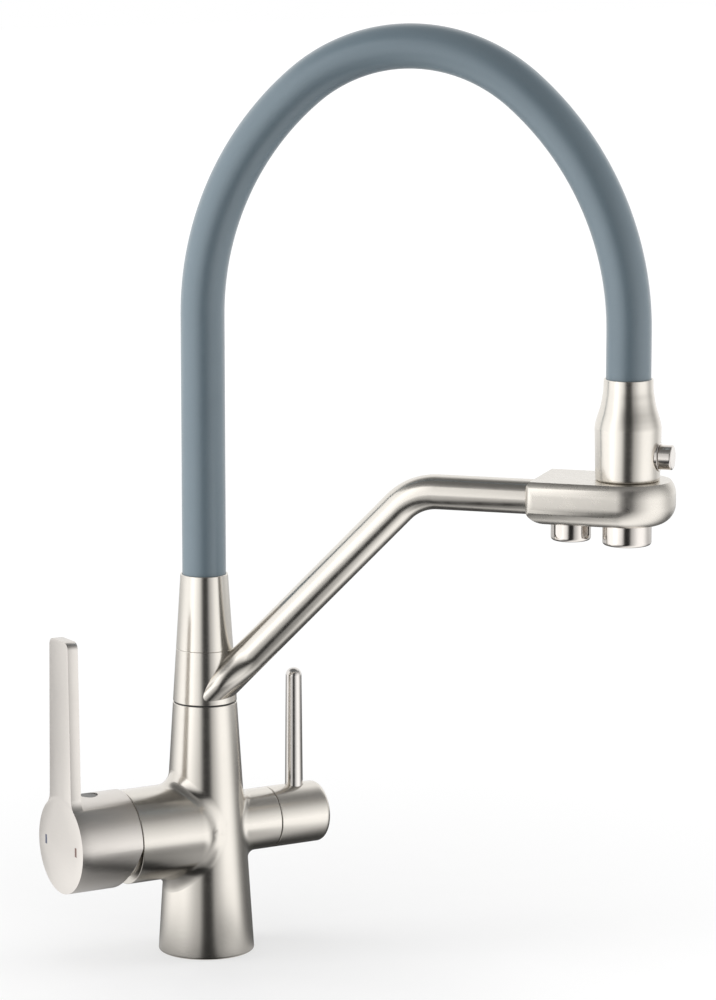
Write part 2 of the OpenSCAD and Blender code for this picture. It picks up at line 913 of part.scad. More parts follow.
// Spindle from the turning disc to the knob
module filter_spindle() {
    flange_d = headwork_d + fit_gap + 2 * disc_t + face_gap;
    flange_t = headwork_d + chamber_l - face_gap - flange_d;
    color("#c2a15a")
        on_filter_side() {
            translate([0, 0, flange_d])
                cylinder(r = spindle_flange_r, h = flange_t);
            translate([0, 0, flange_d])
                cylinder(r = spindle_r, h = spindle_tip - flange_d);
        }
}

// Filtered-water knob
module filter_knob() {
    color("#b5aca4")
        on_filter_side()
            difference() {
                translate([0, 0, knob_d])
                    turned_knob(filter_r, knob_l, knob_round_r);
                translate([0, 0, knob_d - cut])
                    cylinder(r = knob_recess_r, h = knob_recess_l + cut);
                translate([0, 0, knob_d])
                    cylinder(r = spindle_r + fit_gap / 2, h = spindle_tip + fit_gap - knob_d);
                translate([0, 0, rod_axis_d])
                    rotate([0, 90, 0]) {
                        translate([0, 0, rod_seat])
                            cylinder(r = rod_foot_r + fit_gap, h = filter_r);
                        translate([0, 0, rod_seat - rod_spigot_l - fit_gap])
                            cylinder(r = rod_spigot_r + fit_gap, h = filter_r);
                    }
                translate([0, 0, rod_axis_d])
                    rotate([0, -90, 0])
                        cylinder(r = knob_grub_r + fit_gap, h = filter_r + cut);
            }
}

// Rod that turns the knob
module filter_rod() {
    rod_l = rod_top - rod_seat - rod_tip_r;
    color("#c9c5c0")
        on_filter_side()
            translate([0, 0, rod_axis_d])
                rotate([0, 90, 0]) {
                    translate([0, 0, rod_seat - rod_spigot_l])
                        cylinder(r = rod_spigot_r, h = rod_spigot_l);
                    translate([0, 0, rod_seat])
                        cylinder(r1 = rod_foot_r, r2 = rod_tip_r, h = rod_l);
                    translate([0, 0, rod_seat + rod_l])
                        sphere(rod_tip_r);
                }
}

// Set screw that clamps the knob on the spindle
module knob_set_screw() {
    screw_l = filter_r / 2 - spindle_r;
    color("#6f7276")
        on_filter_side()
            translate([0, 0, rod_axis_d])
                rotate([0, -90, 0])
                    translate([0, 0, spindle_r])
                        difference() {
                            cylinder(r = knob_grub_r, h = screw_l);
                            translate([0, 0, screw_l / 2])
                                cylinder(r = knob_grub_r / 2, h = screw_l, $fn = 6);
                        }
}

// Saddle that blends the arm into the collar
module arm_saddle() {
    along_arm_slope()
        hull() {
            linear_extrude(saddle_full_l)
                scale([1, saddle_half_w / arm_r])
                    circle(arm_r, $fn = hull_fn * 2);
            translate([0, 0, saddle_l - cut])
                cylinder(r = arm_r, h = cut, $fn = hull_fn * 2);
        }
}

// Swivel collar with the root of the arm
module swivel_collar() {
    color("#b5aca4")
        in_arm_plane()
            difference() {
                union() {
                    translate([0, 0, collar_z])
                        cylinder(r1 = column_r(collar_z), r2 = column_r(cone_z), h = cone_z - collar_z);
                    intersection() {
                        arm_saddle();
                        translate([0, -base_r, collar_z])
                            cube([base_r * 2, base_r * 2, collar_h * 2]);
                    }
                }
                translate([0, 0, body_h - cut])
                    cylinder(r = swivel_r + run_gap, h = collar_h + 2 * cut);
                along_arm_slope() {
                    cylinder(r = collar_duct_r, h = saddle_l);
                    translate([0, 0, saddle_l - arm_spigot_l])
                        cylinder(r = arm_spigot_r + fit_gap, h = arm_spigot_l + cut);
                }
            }
}

// Solid along the arm's centre line, from the saddle to the block. The bend is a
// hair slimmer than the straight stretches, which lap over its ends.
module arm_run(r, start, end_s) {
    along_arm_slope()
        translate([0, 0, start])
            cylinder(r = r, h = slope_l - bend_back - start + bend_lap);
    translate([corner_s + bend_back, 0, arm_z - arm_bend_r])
        rotate([90, 0, 0])
            rotate([0, 0, 90])
                rotate_extrude(angle = arm_rise)
                    translate([arm_bend_r, 0])
                        circle(r - bend_step);
    translate([corner_s + bend_back - bend_lap, 0, arm_z])
        rotate([0, 90, 0])
            cylinder(r = r, h = end_s - corner_s - bend_back + bend_lap);
}

// Bent tube that carries the filtered water
module spout_arm() {
    color("#b5aca4")
        in_arm_plane()
            difference() {
                union() {
                    arm_run(arm_r, saddle_l, tail_s);
                    along_arm_slope()
                        translate([0, 0, saddle_l - arm_spigot_l + fit_gap])
                            cylinder(r = arm_spigot_r, h = arm_spigot_l + cut);
                    translate([tail_s - cut, 0, arm_z])
                        rotate([0, 90, 0])
                            cylinder(r = arm_spigot_r, h = arm_spigot_l + cut);
                }
                arm_run(arm_bore_r, saddle_l - arm_spigot_l - cut, tail_s + arm_spigot_l + cut);
            }
}

// Section of the block across the arm: flat top, curved shoulders, rounded below
module block_section() {
    wide = block_half_w;
    intersection() {
        translate([-wide, -block_h / 2])
            square([2 * wide, block_h]);
        union() {
            translate([-wide + block_top_round, 0])
                square([2 * (wide - block_top_round), block_h]);
            translate([-wide + block_low_round, -block_h / 2])
                square([2 * (wide - block_low_round), block_h / 2 + cut]);
            translate([-wide, -block_h / 2 + block_low_round])
                square([2 * wide, block_h - block_low_round - block_shoulder_h]);
            for (side = [-1, 1]) {
                translate([side * (wide - block_top_round), block_h / 2 - block_shoulder_h])
                    circle(block_top_round);
                translate([side * (wide - block_low_round), -block_h / 2 + block_low_round])
                    circle(block_low_round);
            }
        }
    }
}

// The right half of the section, for the nose's turned form
module block_half_section() {
    intersection() {
        block_section();
        translate([0, -block_h])
            square([2 * block_half_w, 2 * block_h]);
    }
}

// Side view of the block's arm end
module block_side_view() {
    intersection() {
        translate([-block_tail + block_half_w, 0])
            block_section();
        translate([-block_tail - cut, -block_h])
            square([block_tail, 2 * block_h]);
    }
    translate([-block_tail + block_half_w, -block_h / 2])
        square([block_tail - block_half_w + cut, block_h]);
}

// Plan of the block's straight part
module block_plan() {
    wide = block_half_w;
    translate([-block_tail + block_side_round, -wide])
        square([block_tail - block_side_round, 2 * wide]);
    translate([-block_tail, -wide + block_side_round])
        square([block_tail, 2 * (wide - block_side_round)]);
    for (side = [-1, 1])
        translate([-block_tail + block_side_round, side * (wide - block_side_round)])
            circle(block_side_round);
}

// Solid outer form of the block, about the bell's axis
module block_form() {
    intersection() {
        translate([-block_tail, 0, 0])
            rotate([90, 0, 90])
                linear_extrude(block_tail)
                    block_section();
        translate([0, block_half_w, 0])
            rotate([90, 0, 0])
                linear_extrude(2 * block_half_w)
                    block_side_view();
        translate([0, 0, -block_h / 2])
            linear_extrude(block_h)
                block_plan();
    }
    rotate([0, 0, -90])
        rotate_extrude(angle = 180)
            block_half_section();
}

// Block that joins the two outlets to the arm and the bell
module outlet_block() {
    color("#b5aca4")
        in_arm_plane()
            difference() {
                translate([reach, 0, arm_z])
                    block_form();
                translate([tail_s - cut, 0, arm_z])
                    rotate([0, 90, 0])
                        cylinder(r = arm_spigot_r + fit_gap, h = arm_spigot_l + fit_gap + cut);
                translate([tail_s, 0, arm_z])
                    rotate([0, 90, 0])
                        cylinder(r = block_duct_r, h = pure_s - tail_s);
                translate([pure_s, 0, block_low])
                    cylinder(r = block_duct_r, h = block_h / 2);
                translate([pure_s, 0, block_low - cut])
                    cylinder(r = pure_r + fit_gap, h = socket_depth + cut);
                translate([reach, 0, block_low - cut])
                    cylinder(r = mixed_r + fit_gap, h = socket_depth + cut);
                translate([reach, 0, block_low])
                    cylinder(r = bell_bore_r, h = block_h);
                translate([reach, 0, block_top - bell_spigot_l])
                    cylinder(r = bell_spigot_r + fit_gap, h = bell_spigot_l + cut);
            }
}

// A turned outlet housing that hangs from its socket, about its own axis
module outlet_housing(r, drop) {
    difference() {
        translate([0, 0, -drop])
            turned_foot(r, r, drop + socket_depth, outlet_round_r);
        translate([0, 0, -drop + outlet_lip])
            cylinder(r = r - outlet_wall, h = drop + socket_depth);
        translate([0, 0, -drop - cut])
            cylinder(r = r - outlet_wall - outlet_lip / 2, h = drop);
    }
}

// A drilled aerator plate, about its own axis
module aerator(r) {
    difference() {
        cylinder(r = r, h = aerator_t);
        translate([0, 0, aerator_t / 2])
            cylinder(r = r - outlet_lip, h = aerator_t);
        for (i = [0:len(aerator_ring_shares) - 1])
            for (j = [1:aerator_ring_counts[i]])
                rotate([0, 0, j * 360 / aerator_ring_counts[i]])
                    translate([aerator_ring_shares[i] * (r - outlet_lip), 0, -cut])
                        cylinder(r = aerator_hole_r, h = aerator_t, $fn = 16);
    }
}

// Housing of the mixed-water outlet
module mixed_outlet() {
    color("#a9a29b")
        in_arm_plane()
            translate([reach, 0, block_low])
                outlet_housing(mixed_r, mixed_drop);
}

// Aerator of the mixed-water outlet
module mixed_aerator() {
    color("#d9dcdd")
        in_arm_plane()
            translate([reach, 0, block_low - mixed_drop + outlet_lip])
                aerator(mixed_r - outlet_wall - fit_gap);
}

// Housing of the filtered-water outlet, with round-ended slots for a wrench
module filtered_outlet() {
    slot_z = -pure_drop + wrench_slot_rim + wrench_slot_w / 2;
    color("#a9a29b")
        in_arm_plane()
            translate([pure_s, 0, block_low])
                difference() {
                    outlet_housing(pure_r, pure_drop);
                    for (turn = [0:90:270])
                        rotate([0, 0, turn + wrench_slot_turn])
                            translate([pure_r - wrench_slot_depth, 0, slot_z]) {
                                translate([0, -wrench_slot_w / 2, 0])
                                    cube([pure_r, wrench_slot_w, -slot_z]);
                                rotate([0, 90, 0])
                                    cylinder(r = wrench_slot_w / 2, h = pure_r);
                            }
                }
}

// Aerator of the filtered-water outlet
module filtered_aerator() {
    color("#d9dcdd")
        in_arm_plane()
            translate([pure_s, 0, block_low - pure_drop + outlet_lip])
                aerator(pure_r - outlet_wall - fit_gap);
}

// Cone that carries the column's taper up to the hose
module hose_cone() {
    color("#b5aca4")
        difference() {
            translate([0, 0, cone_z])
                cylinder(r1 = column_r(cone_z), r2 = cone_top_r, h = cone_h);
            translate([0, 0, cone_z - cut])
                cylinder(r = cavity_r, h = cavity_h + cut);
            translate([0, 0, cone_z])
                cylinder(r = tail_r, h = cone_h);
            translate([0, 0, lower_end_z])
                cylinder(r = hose_r + fit_gap, h = hose_socket + cut);
        }
}

// A brass hose tail: threaded body below, flange, and barbed nipple above
module hose_tail(body_l) {
    color("#c2a15a")
        difference() {
            union() {
                translate([0, 0, -body_l])
                    cylinder(r = tail_r - fit_gap, h = body_l);
                cylinder(r = hose_r - fit_gap, h = tail_flange_t);
                cylinder(r = inner_bore_r - fit_gap, h = tail_flange_t + nipple_l);
            }
            translate([0, 0, -body_l - cut])
                cylinder(r = inner_bore_r / 2, h = body_l + nipple_l + 2 * cut + tail_flange_t);
        }
}

// Lower hose tail, in the cone
module lower_hose_tail() {
    translate([0, 0, lower_end_z])
        hose_tail(tail_body_l);
}

// Upper hose tail, in the bell
module upper_hose_tail() {
    in_arm_plane()
        translate([reach, 0, upper_end_z])
            hose_tail(tail_body_l);
}

// One side of the hose's route, from its foot at z = foot_z up to the crown's arc
module route_side(r, foot_z) {
    translate([0, 0, foot_z])
        cylinder(r = r, h = side_z - foot_z + bend_lap);
    translate([side_r, 0, side_z])
        rotate([90, 0, 0])
            rotate([0, 0, 180 - side_turn])
                rotate_extrude(angle = side_turn)
                    translate([side_r, 0])
                        circle(r - bend_step);
}

// The whole route, ending on the two hose tails' flanges. The side arcs are a
// hair slimmer than the stretches that lap over their ends.
module hose_route(r, shorter) {
    route_side(r, lower_end_z + tail_flange_t - shorter);
    translate([reach / 2, 0, crown_z - crown_r])
        rotate([90, 0, 0])
            rotate([0, 0, 90 - crown_half - crown_lap])
                rotate_extrude(angle = 2 * (crown_half + crown_lap))
                    translate([crown_r, 0])
                        circle(r);
    translate([reach, 0, 0])
        mirror([1, 0, 0])
            route_side(r, upper_end_z + tail_flange_t - shorter);
}

// Silicone hose, arched from the cone to the bell
module silicone_hose() {
    color("#6e7c86")
        in_arm_plane()
            difference() {
                hose_route(hose_r, 0);
                hose_route(hose_bore_r, cut);
            }
}

// Pressure hose inside the silicone one
module inner_hose() {
    color("#d8d8d4")
        in_arm_plane()
            difference() {
                hose_route(inner_r, 0);
                hose_route(inner_bore_r, cut);
            }
}

// Profile of the bell, from its foot to its neck
module bell_profile() {
    mid_r = (bell_r + bell_neck_r) / 2;
    step = (bell_r - bell_neck_r) / 2;
    steps = 12;
    out_pts = [for (i = [0:steps])
        [mid_r + step * cos(90 * i / steps), bell_straight_h + shoulder_out_h * sin(90 * i / steps)]];
    in_pts = [for (i = [0:steps])
        [mid_r - step * sin(90 * i / steps),
         bell_straight_h + shoulder_out_h + shoulder_in_h * (1 - cos(90 * i / steps))]];
    polygon(concat([[0, 0], [bell_r, 0]], out_pts, in_pts, [[bell_neck_r, bell_h], [0, bell_h]]));
}

// Bell between the hose and the block
module hose_bell() {
    color("#b5aca4")
        in_arm_plane()
            difference() {
                union() {
                    translate([reach, 0, block_top])
                        rotate_extrude()
                            bell_profile();
                    translate([reach, 0, block_top - bell_spigot_l])
                        cylinder(r = bell_spigot_r, h = bell_spigot_l + cut);
                }
                translate([reach, 0, block_top - bell_spigot_l - cut])
                    cylinder(r = bell_bore_r, h = bell_h);
                translate([reach, 0, upper_end_z - tail_body_l - fit_gap])
                    cylinder(r = tail_r, h = bell_h);
                translate([reach, 0, upper_end_z])
                    cylinder(r = hose_r + fit_gap, h = bell_h);
                on_diverter() {
                    cylinder(r = diverter_bore_r, h = bell_r);
                    translate([0, 0, diverter_seat - bush_in_l])
                        cylinder(r = bush_in_r + fit_gap, h = bell_r);
                    translate([0, 0, diverter_seat])
                        cylinder(r = bush_r + fit_gap, h = bell_r);
                }
            }
}

// Threaded bush that guides the diverter's stem
module diverter_bush() {
    color("#8f8a85")
        in_arm_plane()
            on_diverter()
                difference() {
                    union() {
                        translate([0, 0, diverter_seat - bush_in_l + fit_gap])
                            cylinder(r = bush_in_r, h = bush_in_l);
                        translate([0, 0, diverter_seat])
                            cylinder(r = bush_r, h = bush_t);
                    }
                    cylinder(r = diverter_stem_r + run_gap, h = bell_r * 2);
                    translate([0, 0, diverter_seat - bush_in_l / 2 - diverter_o_r * 1.2])
                        cylinder(r = diverter_stem_r + 2 * diverter_o_r + 2 * run_gap, h = diverter_o_r * 2.4);
                }
}

// Seal round the diverter's stem
module diverter_o_ring() {
    color("#2b2b2b")
        in_arm_plane()
            on_diverter()
                translate([0, 0, diverter_seat - bush_in_l / 2])
                    o_ring(diverter_stem_r + diverter_o_r + run_gap, diverter_o_r);
}

// Stem and poppet of the diverter
module diverter_stem() {
    poppet_d = diverter_seat - bush_in_l - diverter_travel - poppet_t - face_gap;
    color("#c2a15a")
        in_arm_plane()
            on_diverter() {
                translate([0, 0, poppet_d])
                    cylinder(r = poppet_r, h = poppet_t);
                translate([0, 0, poppet_d])
                    cylinder(r = diverter_stem_r, h = diverter_seat + bush_t + diverter_l / 2 - poppet_d);
            }
}

// Knob that is pulled to divert the flow
module diverter_knob() {
    color("#b5aca4")
        in_arm_plane()
            on_diverter()
                translate([0, 0, diverter_seat + bush_t + face_gap])
                    difference() {
                        turned_knob(diverter_r, diverter_l, base_edge_r);
                        translate([0, 0, -cut])
                            cylinder(r = diverter_stem_r + fit_gap / 2, h = diverter_l / 2 + cut);
                    }
}

cast_body();
inlet_insert();
base_gasket();
swivel_stem();
swivel_o_rings();
lower_slip_ring();
upper_slip_ring();
stem_nut();
cartridge_base();
mixer_fixed_disc();
cartridge_shell();
cartridge_nut();
dome_cover();
cartridge_rotor();
mixer_moving_disc();
stem_pin();
cartridge_stem();
mixer_lever();
lever_set_screw();
lever_screw_cap();
hot_mark();
cold_mark();
headwork_body();
filter_fixed_disc();
filter_moving_disc();
filter_spindle();
filter_knob();
filter_rod();
knob_set_screw();
swivel_collar();
spout_arm();
outlet_block();
mixed_outlet();
mixed_aerator();
filtered_outlet();
filtered_aerator();
hose_cone();
lower_hose_tail();
silicone_hose();
inner_hose();
upper_hose_tail();
hose_bell();
diverter_bush();
diverter_o_ring();
diverter_stem();
diverter_knob();
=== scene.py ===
"""Kitchen tap with a mixer lever, a filtered-water lever, a swivelling arm and an arched hose.
Sizes are in millimetres and are turned into metres when a piece is finished."""
import json
import math

import bmesh
import bpy
from mathutils import Matrix, Vector


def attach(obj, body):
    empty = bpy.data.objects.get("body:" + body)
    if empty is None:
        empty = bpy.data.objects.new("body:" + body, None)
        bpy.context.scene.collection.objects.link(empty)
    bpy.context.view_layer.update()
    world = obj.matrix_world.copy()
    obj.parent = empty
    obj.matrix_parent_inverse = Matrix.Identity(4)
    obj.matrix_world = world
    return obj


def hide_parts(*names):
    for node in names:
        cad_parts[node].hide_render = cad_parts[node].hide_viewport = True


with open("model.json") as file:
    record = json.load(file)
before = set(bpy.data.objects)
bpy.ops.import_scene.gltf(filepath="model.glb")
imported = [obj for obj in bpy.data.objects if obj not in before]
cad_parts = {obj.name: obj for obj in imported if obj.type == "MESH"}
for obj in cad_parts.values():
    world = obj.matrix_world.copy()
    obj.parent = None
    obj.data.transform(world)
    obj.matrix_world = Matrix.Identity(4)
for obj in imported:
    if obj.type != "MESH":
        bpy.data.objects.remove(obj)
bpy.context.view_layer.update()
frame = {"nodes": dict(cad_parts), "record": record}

MM = 0.001
# Steps of a full turn, fewest steps of a rounded corner, degrees in a step of a 1 mm corner
ROUND_STEPS, ARC_STEPS, ARC_PACE = 144, 4, 14
# Degrees in a step of a tube's bend, fewest steps of a bend, and sides of tubes and drills
BEND_PACE, BEND_STEPS, TUBE_SIDES, DRILL_SIDES = 1.5, 8, 96, 64
# Border beside a rounded corner: a share of its radius, and its least width
BORDER_SHARE, BORDER_LEAST = 0.4, 0.1
# An edge that turns by more degrees than this stays crisp
SHARP_ANGLE = 38
# Points nearer than this are one: on a turned piece, on a cut, and where two forms meet
TURNED_DIST, CUT_DIST, SEAM_DIST = 0.0005, 1e-5, 0.001

# Sizes of the model, mostly as in its source; some hidden bores are wider here
BASE_R, BASE_EDGE = 26, 1.2
INSERT_R, INSERT_H = 19.05, 22.05
GASKET_IN_R, GASKET_OUT_R, GASKET_H = 20.45, 23.55, 2
BODY_H, CONE_Z, CONE_TOP_Z, CONE_TOP_R = 137.4, 166.8, 207.4, 12.8
FOOT_R, FOOT_L, SEAM_GAP = 11, 20, 0.7
TAPER = (BASE_R - CONE_TOP_R) / CONE_TOP_Z
VALVE_Z = 68.3
MIXER_R, MIXER_END, NUT_BORE_R, NUT_BORE_L = 25.3, 50.8, 21.05, 10
CARTRIDGE_BORE_R, CARTRIDGE_SEAT = 17.55, 26
SKIRT_FRONT, SKIRT_R, SKIRT_WALL = 51.7, 26, 3.4
PLATE_BACK, PLATE_T, BLADE_H, BLADE_ROOT_W, BLADE_TIP_W = 81.5, 6, 111.4, 25, 21.5
BLADE_CORNER, BLADE_FILLET, LEVER_TILT, TILT_D, TILT_GAP = 4, 8, 20, 45, 0.3
HUB_FRONT, HUB_R, STEM_T, STEM_W, STEM_TIP = 67.2, 8.5, 7, 6, 77
CAP_D, CAP_R = 71, 4.8
MARK_Y, MARK_W, MARK_H, MARK_DEPTH = 17.5, 2, 5, 0.4
FILTER_R, FILTER_END, KNOB_FRONT, KNOB_L, KNOB_ROUND = 16.65, 38.3, 38.7, 30.8, 3
HEADWORK_R, HEADWORK_L, KNOB_RECESS_R, KNOB_RECESS_L, KNOB_GRUB_R = 9.05, 14, 11, 6, 2.05
ROD_D, ROD_TOP, ROD_FOOT_R, ROD_TIP_R, ROD_SEAT = 55, 81.6, 4.9, 4.3, 15.2
SWIVEL_R, CAVITY_R, CAVITY_H, CONE_BORE_R = 9.55, 12.5, 15, 8
ARM_TURN, ARM_R, ARM_RISE, ARM_Z, ARM_BEND_R = 48, 9.25, 45.7, 258.2, 30
SADDLE_HALF_W, SADDLE_L, SADDLE_FULL_L, REACH = 16.2, 40, 16, 232.7
BLOCK_H, BLOCK_HALF_W, BLOCK_TAIL, BLOCK_SIDE_ROUND = 23, 25.2, 49, 5
BLOCK_TOP_ROUND, BLOCK_SHOULDER_H, BLOCK_LOW_ROUND, SOCKET = 11, 7, 11, 6
MIXED_R, MIXED_DROP, PURE_R, PURE_DROP, OUTLET_GAP = 12.8, 11, 10.5, 10, 30
OUTLET_WALL, OUTLET_LIP, OUTLET_ROUND = 2.2, 1.5, 1.6
SLOT_W, SLOT_DEPTH, SLOT_RIM, SLOT_TURN = 5.2, 0.75, 1.5, -25
BELL_H, BELL_R, BELL_BORE_R, BELL_RUN_L = 52.8, 17.2, 8, 24.3
DIVERTER_H, DIVERTER_R, DIVERTER_L, BUSH_R, BUSH_T = 12.7, 6.5, 6.7, 7.5, 1.6
BUSH_IN_R, BUSH_IN_L, DIVERTER_STEM_R = 5.6, 4, 2.55
HOSE_R, CROWN_R, CROWN_HALF, HOSE_SOCKET, TAIL_FLANGE_T = 11.75, 92, 40, 8, 1.4

# Sizes of this script alone
# Rounding of the bell's foot, its radius there, and its heights and radii from there up
BELL_FOOT_ROUND, BELL_FOOT_R, SWELL_STEPS = 1.2, 16.8, 6
BELL_SWELL = ((27, 17.4), (30.8, 16.8), (33.9, 15.9), (37, 14.9), (40.2, 14.1), (43.3, 13.6),
              (46.5, 13.1), (52.4, 12.9))
# Run-out of the mixer housing at the column's front, which is 10 in the source, and the
# depth by which it ends inside the column
MIXER_BLEND_L, NECK_SUNK, NECK_STEPS = 15, 0.3, 24
# Legs, at a square corner, of the soft fillets where the two housings leave the column, and
# the least share of a leg that is kept where the two surfaces run nearly level
MIXER_FILLET, FILTER_FILLET, LEAST_LEG = 8, 5, 0.6
# Degrees from the column's front and back where the mixer housing sinks into the column
MIXER_OPEN = 6.5
# Roundings of edges: in grooves, at bores, at seams, round faces, round rims, and of pieces
GROOVE_EDGE, BORE_EDGE, SEAM_EDGE, FACE_EDGE, RIM_EDGE = 0.1, 0.2, 0.25, 0.3, 0.35
HUB_EDGE, PULL_EDGE, ROD_FLAT_R = 0.4, 0.7, 0.15
# Gaps round pressed-in pieces, the rod's foot, the lever's cap and behind the diverter's knob
FIT_GAP, ROD_GAP, CAP_GAP, PULL_GAP = 0.05, 0.12, 0.35, 0.1
# How far joined shapes lap, how far a cut overruns, and how far a bounding shape stands clear
LAP, OVERRUN, CLEAR = 1, 2, 3

BLOCK_LOW = ARM_Z - BLOCK_H / 2
BLOCK_TOP = ARM_Z + BLOCK_H / 2
BELL_TOP = BLOCK_TOP + BELL_H
PURE_S = REACH - OUTLET_GAP
TAIL_S = REACH - BLOCK_TAIL
BUSH_SEAT = BELL_R - BUSH_T
COLLAR_Z = BODY_H + SEAM_GAP


def column_r(z):
    return BASE_R - TAPER * z


def sine(degrees):
    return math.sin(math.radians(degrees))


def cosine(degrees):
    return math.cos(math.radians(degrees))


def turn(degrees, axis):
    return Matrix.Rotation(math.radians(degrees), 4, axis)


def shift(x, y, z):
    return Matrix.Translation((x, y, z))


# Places: each one's local +Z runs outwards along its piece
UPRIGHT = Matrix.Identity(4)
MIXER = shift(0, 0, VALVE_Z) @ turn(-90, "Y")
FILTER = shift(0, 0, VALVE_Z) @ turn(90, "Y") @ turn(180, "Z")
ROD = FILTER @ shift(0, 0, ROD_D) @ turn(90, "Y")
ARM = turn(-ARM_TURN, "Z")
SLOPE = ARM @ shift(0, 0, BODY_H) @ turn(90 - ARM_RISE, "Y")
BLOCK = ARM @ shift(REACH, 0, ARM_Z)
BELL = ARM @ shift(REACH, 0, BLOCK_TOP)
DIVERTER = BELL @ shift(0, 0, DIVERTER_H) @ turn(90, "Y")


# ---- Finishes ----

class Wire:
    """A shader socket in a sum of a material."""

    def __init__(self, finish, socket):
        self.finish, self.socket = finish, socket

    def maths(self, operation, first, second=None):
        return self.finish.node("ShaderNodeMath", {"operation": operation}, first, second)

    def __add__(self, other):
        return self.maths("ADD", self, other)

    def __sub__(self, other):
        return self.maths("SUBTRACT", self, other)

    def __rsub__(self, other):
        return self.maths("SUBTRACT", other, self)

    def __mul__(self, other):
        return self.maths("MULTIPLY", self, other)

    def __abs__(self):
        return self.maths("ABSOLUTE", self)

    __radd__, __rmul__ = __add__, __mul__


class Finish:
    """A node tree that a material or the studio's world is drawn in."""

    def __init__(self, owner, shader, **constants):
        owner.use_nodes = True
        self.owner = owner
        self.nodes, self.links = owner.node_tree.nodes, owner.node_tree.links
        self.shader = self.nodes[shader]
        for socket, value in constants.items():
            self.shader.inputs[socket.replace("_", " ")].default_value = value

    def node(self, kind, settings, *values, output=0, **named):
        """A node, its settings, and the values or links of its sockets."""
        node = self.nodes.new(kind)
        for key, value in settings.items():
            setattr(node, key, value)
        for key, value in [*enumerate(values), *named.items()]:
            socket = node.inputs[key.replace("_", " ") if isinstance(key, str) else key]
            if isinstance(value, Wire):
                self.links.new(value.socket, socket)
            elif value is not None:
                socket.default_value = value
        return Wire(self, node.outputs[output])

    def place(self, scale=(1, 1, 1)):
        """Object coordinates, stretched."""
        where = self.node("ShaderNodeTexCoord", {}, output="Object")
        return self.node("ShaderNodeMapping", {}, where, Scale=scale)

    def noise(self, where, scale, detail=3.0, rough=0.5):
        return self.node("ShaderNodeTexNoise", {}, Vector=where, Scale=scale,
                         Detail=detail, Roughness=rough)

    def spread(self, value, low, high, start=0.3, end=0.7):
        """A value between start and end, spread from low to high."""
        return self.node("ShaderNodeMapRange", {}, value, start, end, low, high)

    def blend(self, value, first, second):
        """A colour between two others."""
        colours = [c if isinstance(c, Wire) else (*c, 1) for c in (first, second)]
        return self.node("ShaderNodeMix", {"data_type": "RGBA"}, value, None, None, None, None,
                         None, *colours, output=2)

    def fade(self, value, start, end, low, high):
        """A soft step from low at start to high at end."""
        return self.node("ShaderNodeMapRange", {"interpolation_type": "SMOOTHSTEP"},
                         value, start, end, low, high)

    def bump(self, height, strength, distance):
        return self.node("ShaderNodeBump", {}, Strength=strength, Distance=distance,
                         Height=height)

    def feed(self, **links):
        """Links to the shader's sockets; returns the material that they finish."""
        for socket, value in links.items():
            self.links.new(value.socket, self.shader.inputs[socket.replace("_", " ")])
        return self.owner


def material(name, **constants):
    return Finish(bpy.data.materials.new(name), "Principled BSDF", **constants)


# A metal's darkest and lightest shades, and the depth of its grain in metres
METAL_DARK, METAL_LIGHT, GRAIN_DEPTH = 0.93, 1.05, 0.0001


def satin_metal(name, colour, roughness, grain, across=(1, 1, 1)):
    """Plated metal with a fine grain, which runs across the axis that is stretched most."""
    finish = material(name, Metallic=1.0, IOR=1.45)
    lines = finish.noise(finish.place(across), scale=160, detail=4.0, rough=0.65)
    clouds = finish.noise(finish.place(), scale=14, detail=2.0)
    tone = finish.spread(clouds * 0.7 + lines * 0.3, low=0, high=1)
    darker, lighter = (tuple(c * shade for c in colour) for shade in (METAL_DARK, METAL_LIGHT))
    return finish.feed(
        Base_Color=finish.blend(tone, darker, lighter),
        Roughness=finish.spread(lines, roughness - 0.03, roughness + 0.04) + clouds * 0.02,
        Normal=finish.bump(lines, grain, GRAIN_DEPTH))


def moulded(name, dark, light, roughness, size, depth=0.00006, **constants):
    """Rubber or plastic with a fine moulded texture, whose depth is in metres."""
    finish = material(name, **constants)
    speckle = finish.noise(finish.place(), scale=size, detail=5.0, rough=0.6)
    clouds = finish.noise(finish.place(), scale=22, detail=2.0)
    tone = finish.spread(clouds * 0.6 + speckle * 0.4, low=0, high=1)
    return finish.feed(
        Base_Color=finish.blend(tone, dark, light),
        Roughness=finish.spread(speckle, roughness - 0.05, roughness + 0.06),
        Normal=finish.bump(speckle, strength=0.35, distance=depth))


NICKEL = (0.710, 0.675, 0.620)
column_nickel = satin_metal("satin nickel, turned upright", NICKEL, 0.20, 0.05, (1, 1, 14))
valve_nickel = satin_metal("satin nickel, turned level", NICKEL, 0.22, 0.05, (14, 1, 1))
arm_nickel = satin_metal("satin nickel, drawn tube", NICKEL, 0.20, 0.05)
block_nickel = satin_metal("satin nickel, cast block", NICKEL, 0.27, 0.05)
lever_nickel = satin_metal("satin nickel, lever", (0.69, 0.655, 0.615), 0.30, 0.06, (1, 1, 6))
bright_nickel = satin_metal("bright nickel", (0.72, 0.68, 0.64), 0.12, 0.02)
rod_nickel = satin_metal("satin nickel, rod", (0.70, 0.67, 0.64), 0.16, 0.03, (1, 1, 10))
machined_brass = satin_metal("machined brass", (0.72, 0.56, 0.30), 0.28, 0.08, (1, 1, 8))
plain_steel = satin_metal("stainless steel", (0.56, 0.56, 0.57), 0.28, 0.08)
black_steel = satin_metal("blackened steel", (0.12, 0.12, 0.12), 0.4, 0.08)
silicone = moulded("blue-grey silicone", (0.108, 0.156, 0.189), (0.124, 0.175, 0.209), 0.34,
                   900, Specular_IOR_Level=0.9, Sheen_Weight=0.3)
black_rubber = moulded("black rubber", (0.012, 0.012, 0.012), (0.022, 0.022, 0.021), 0.55, 1400)
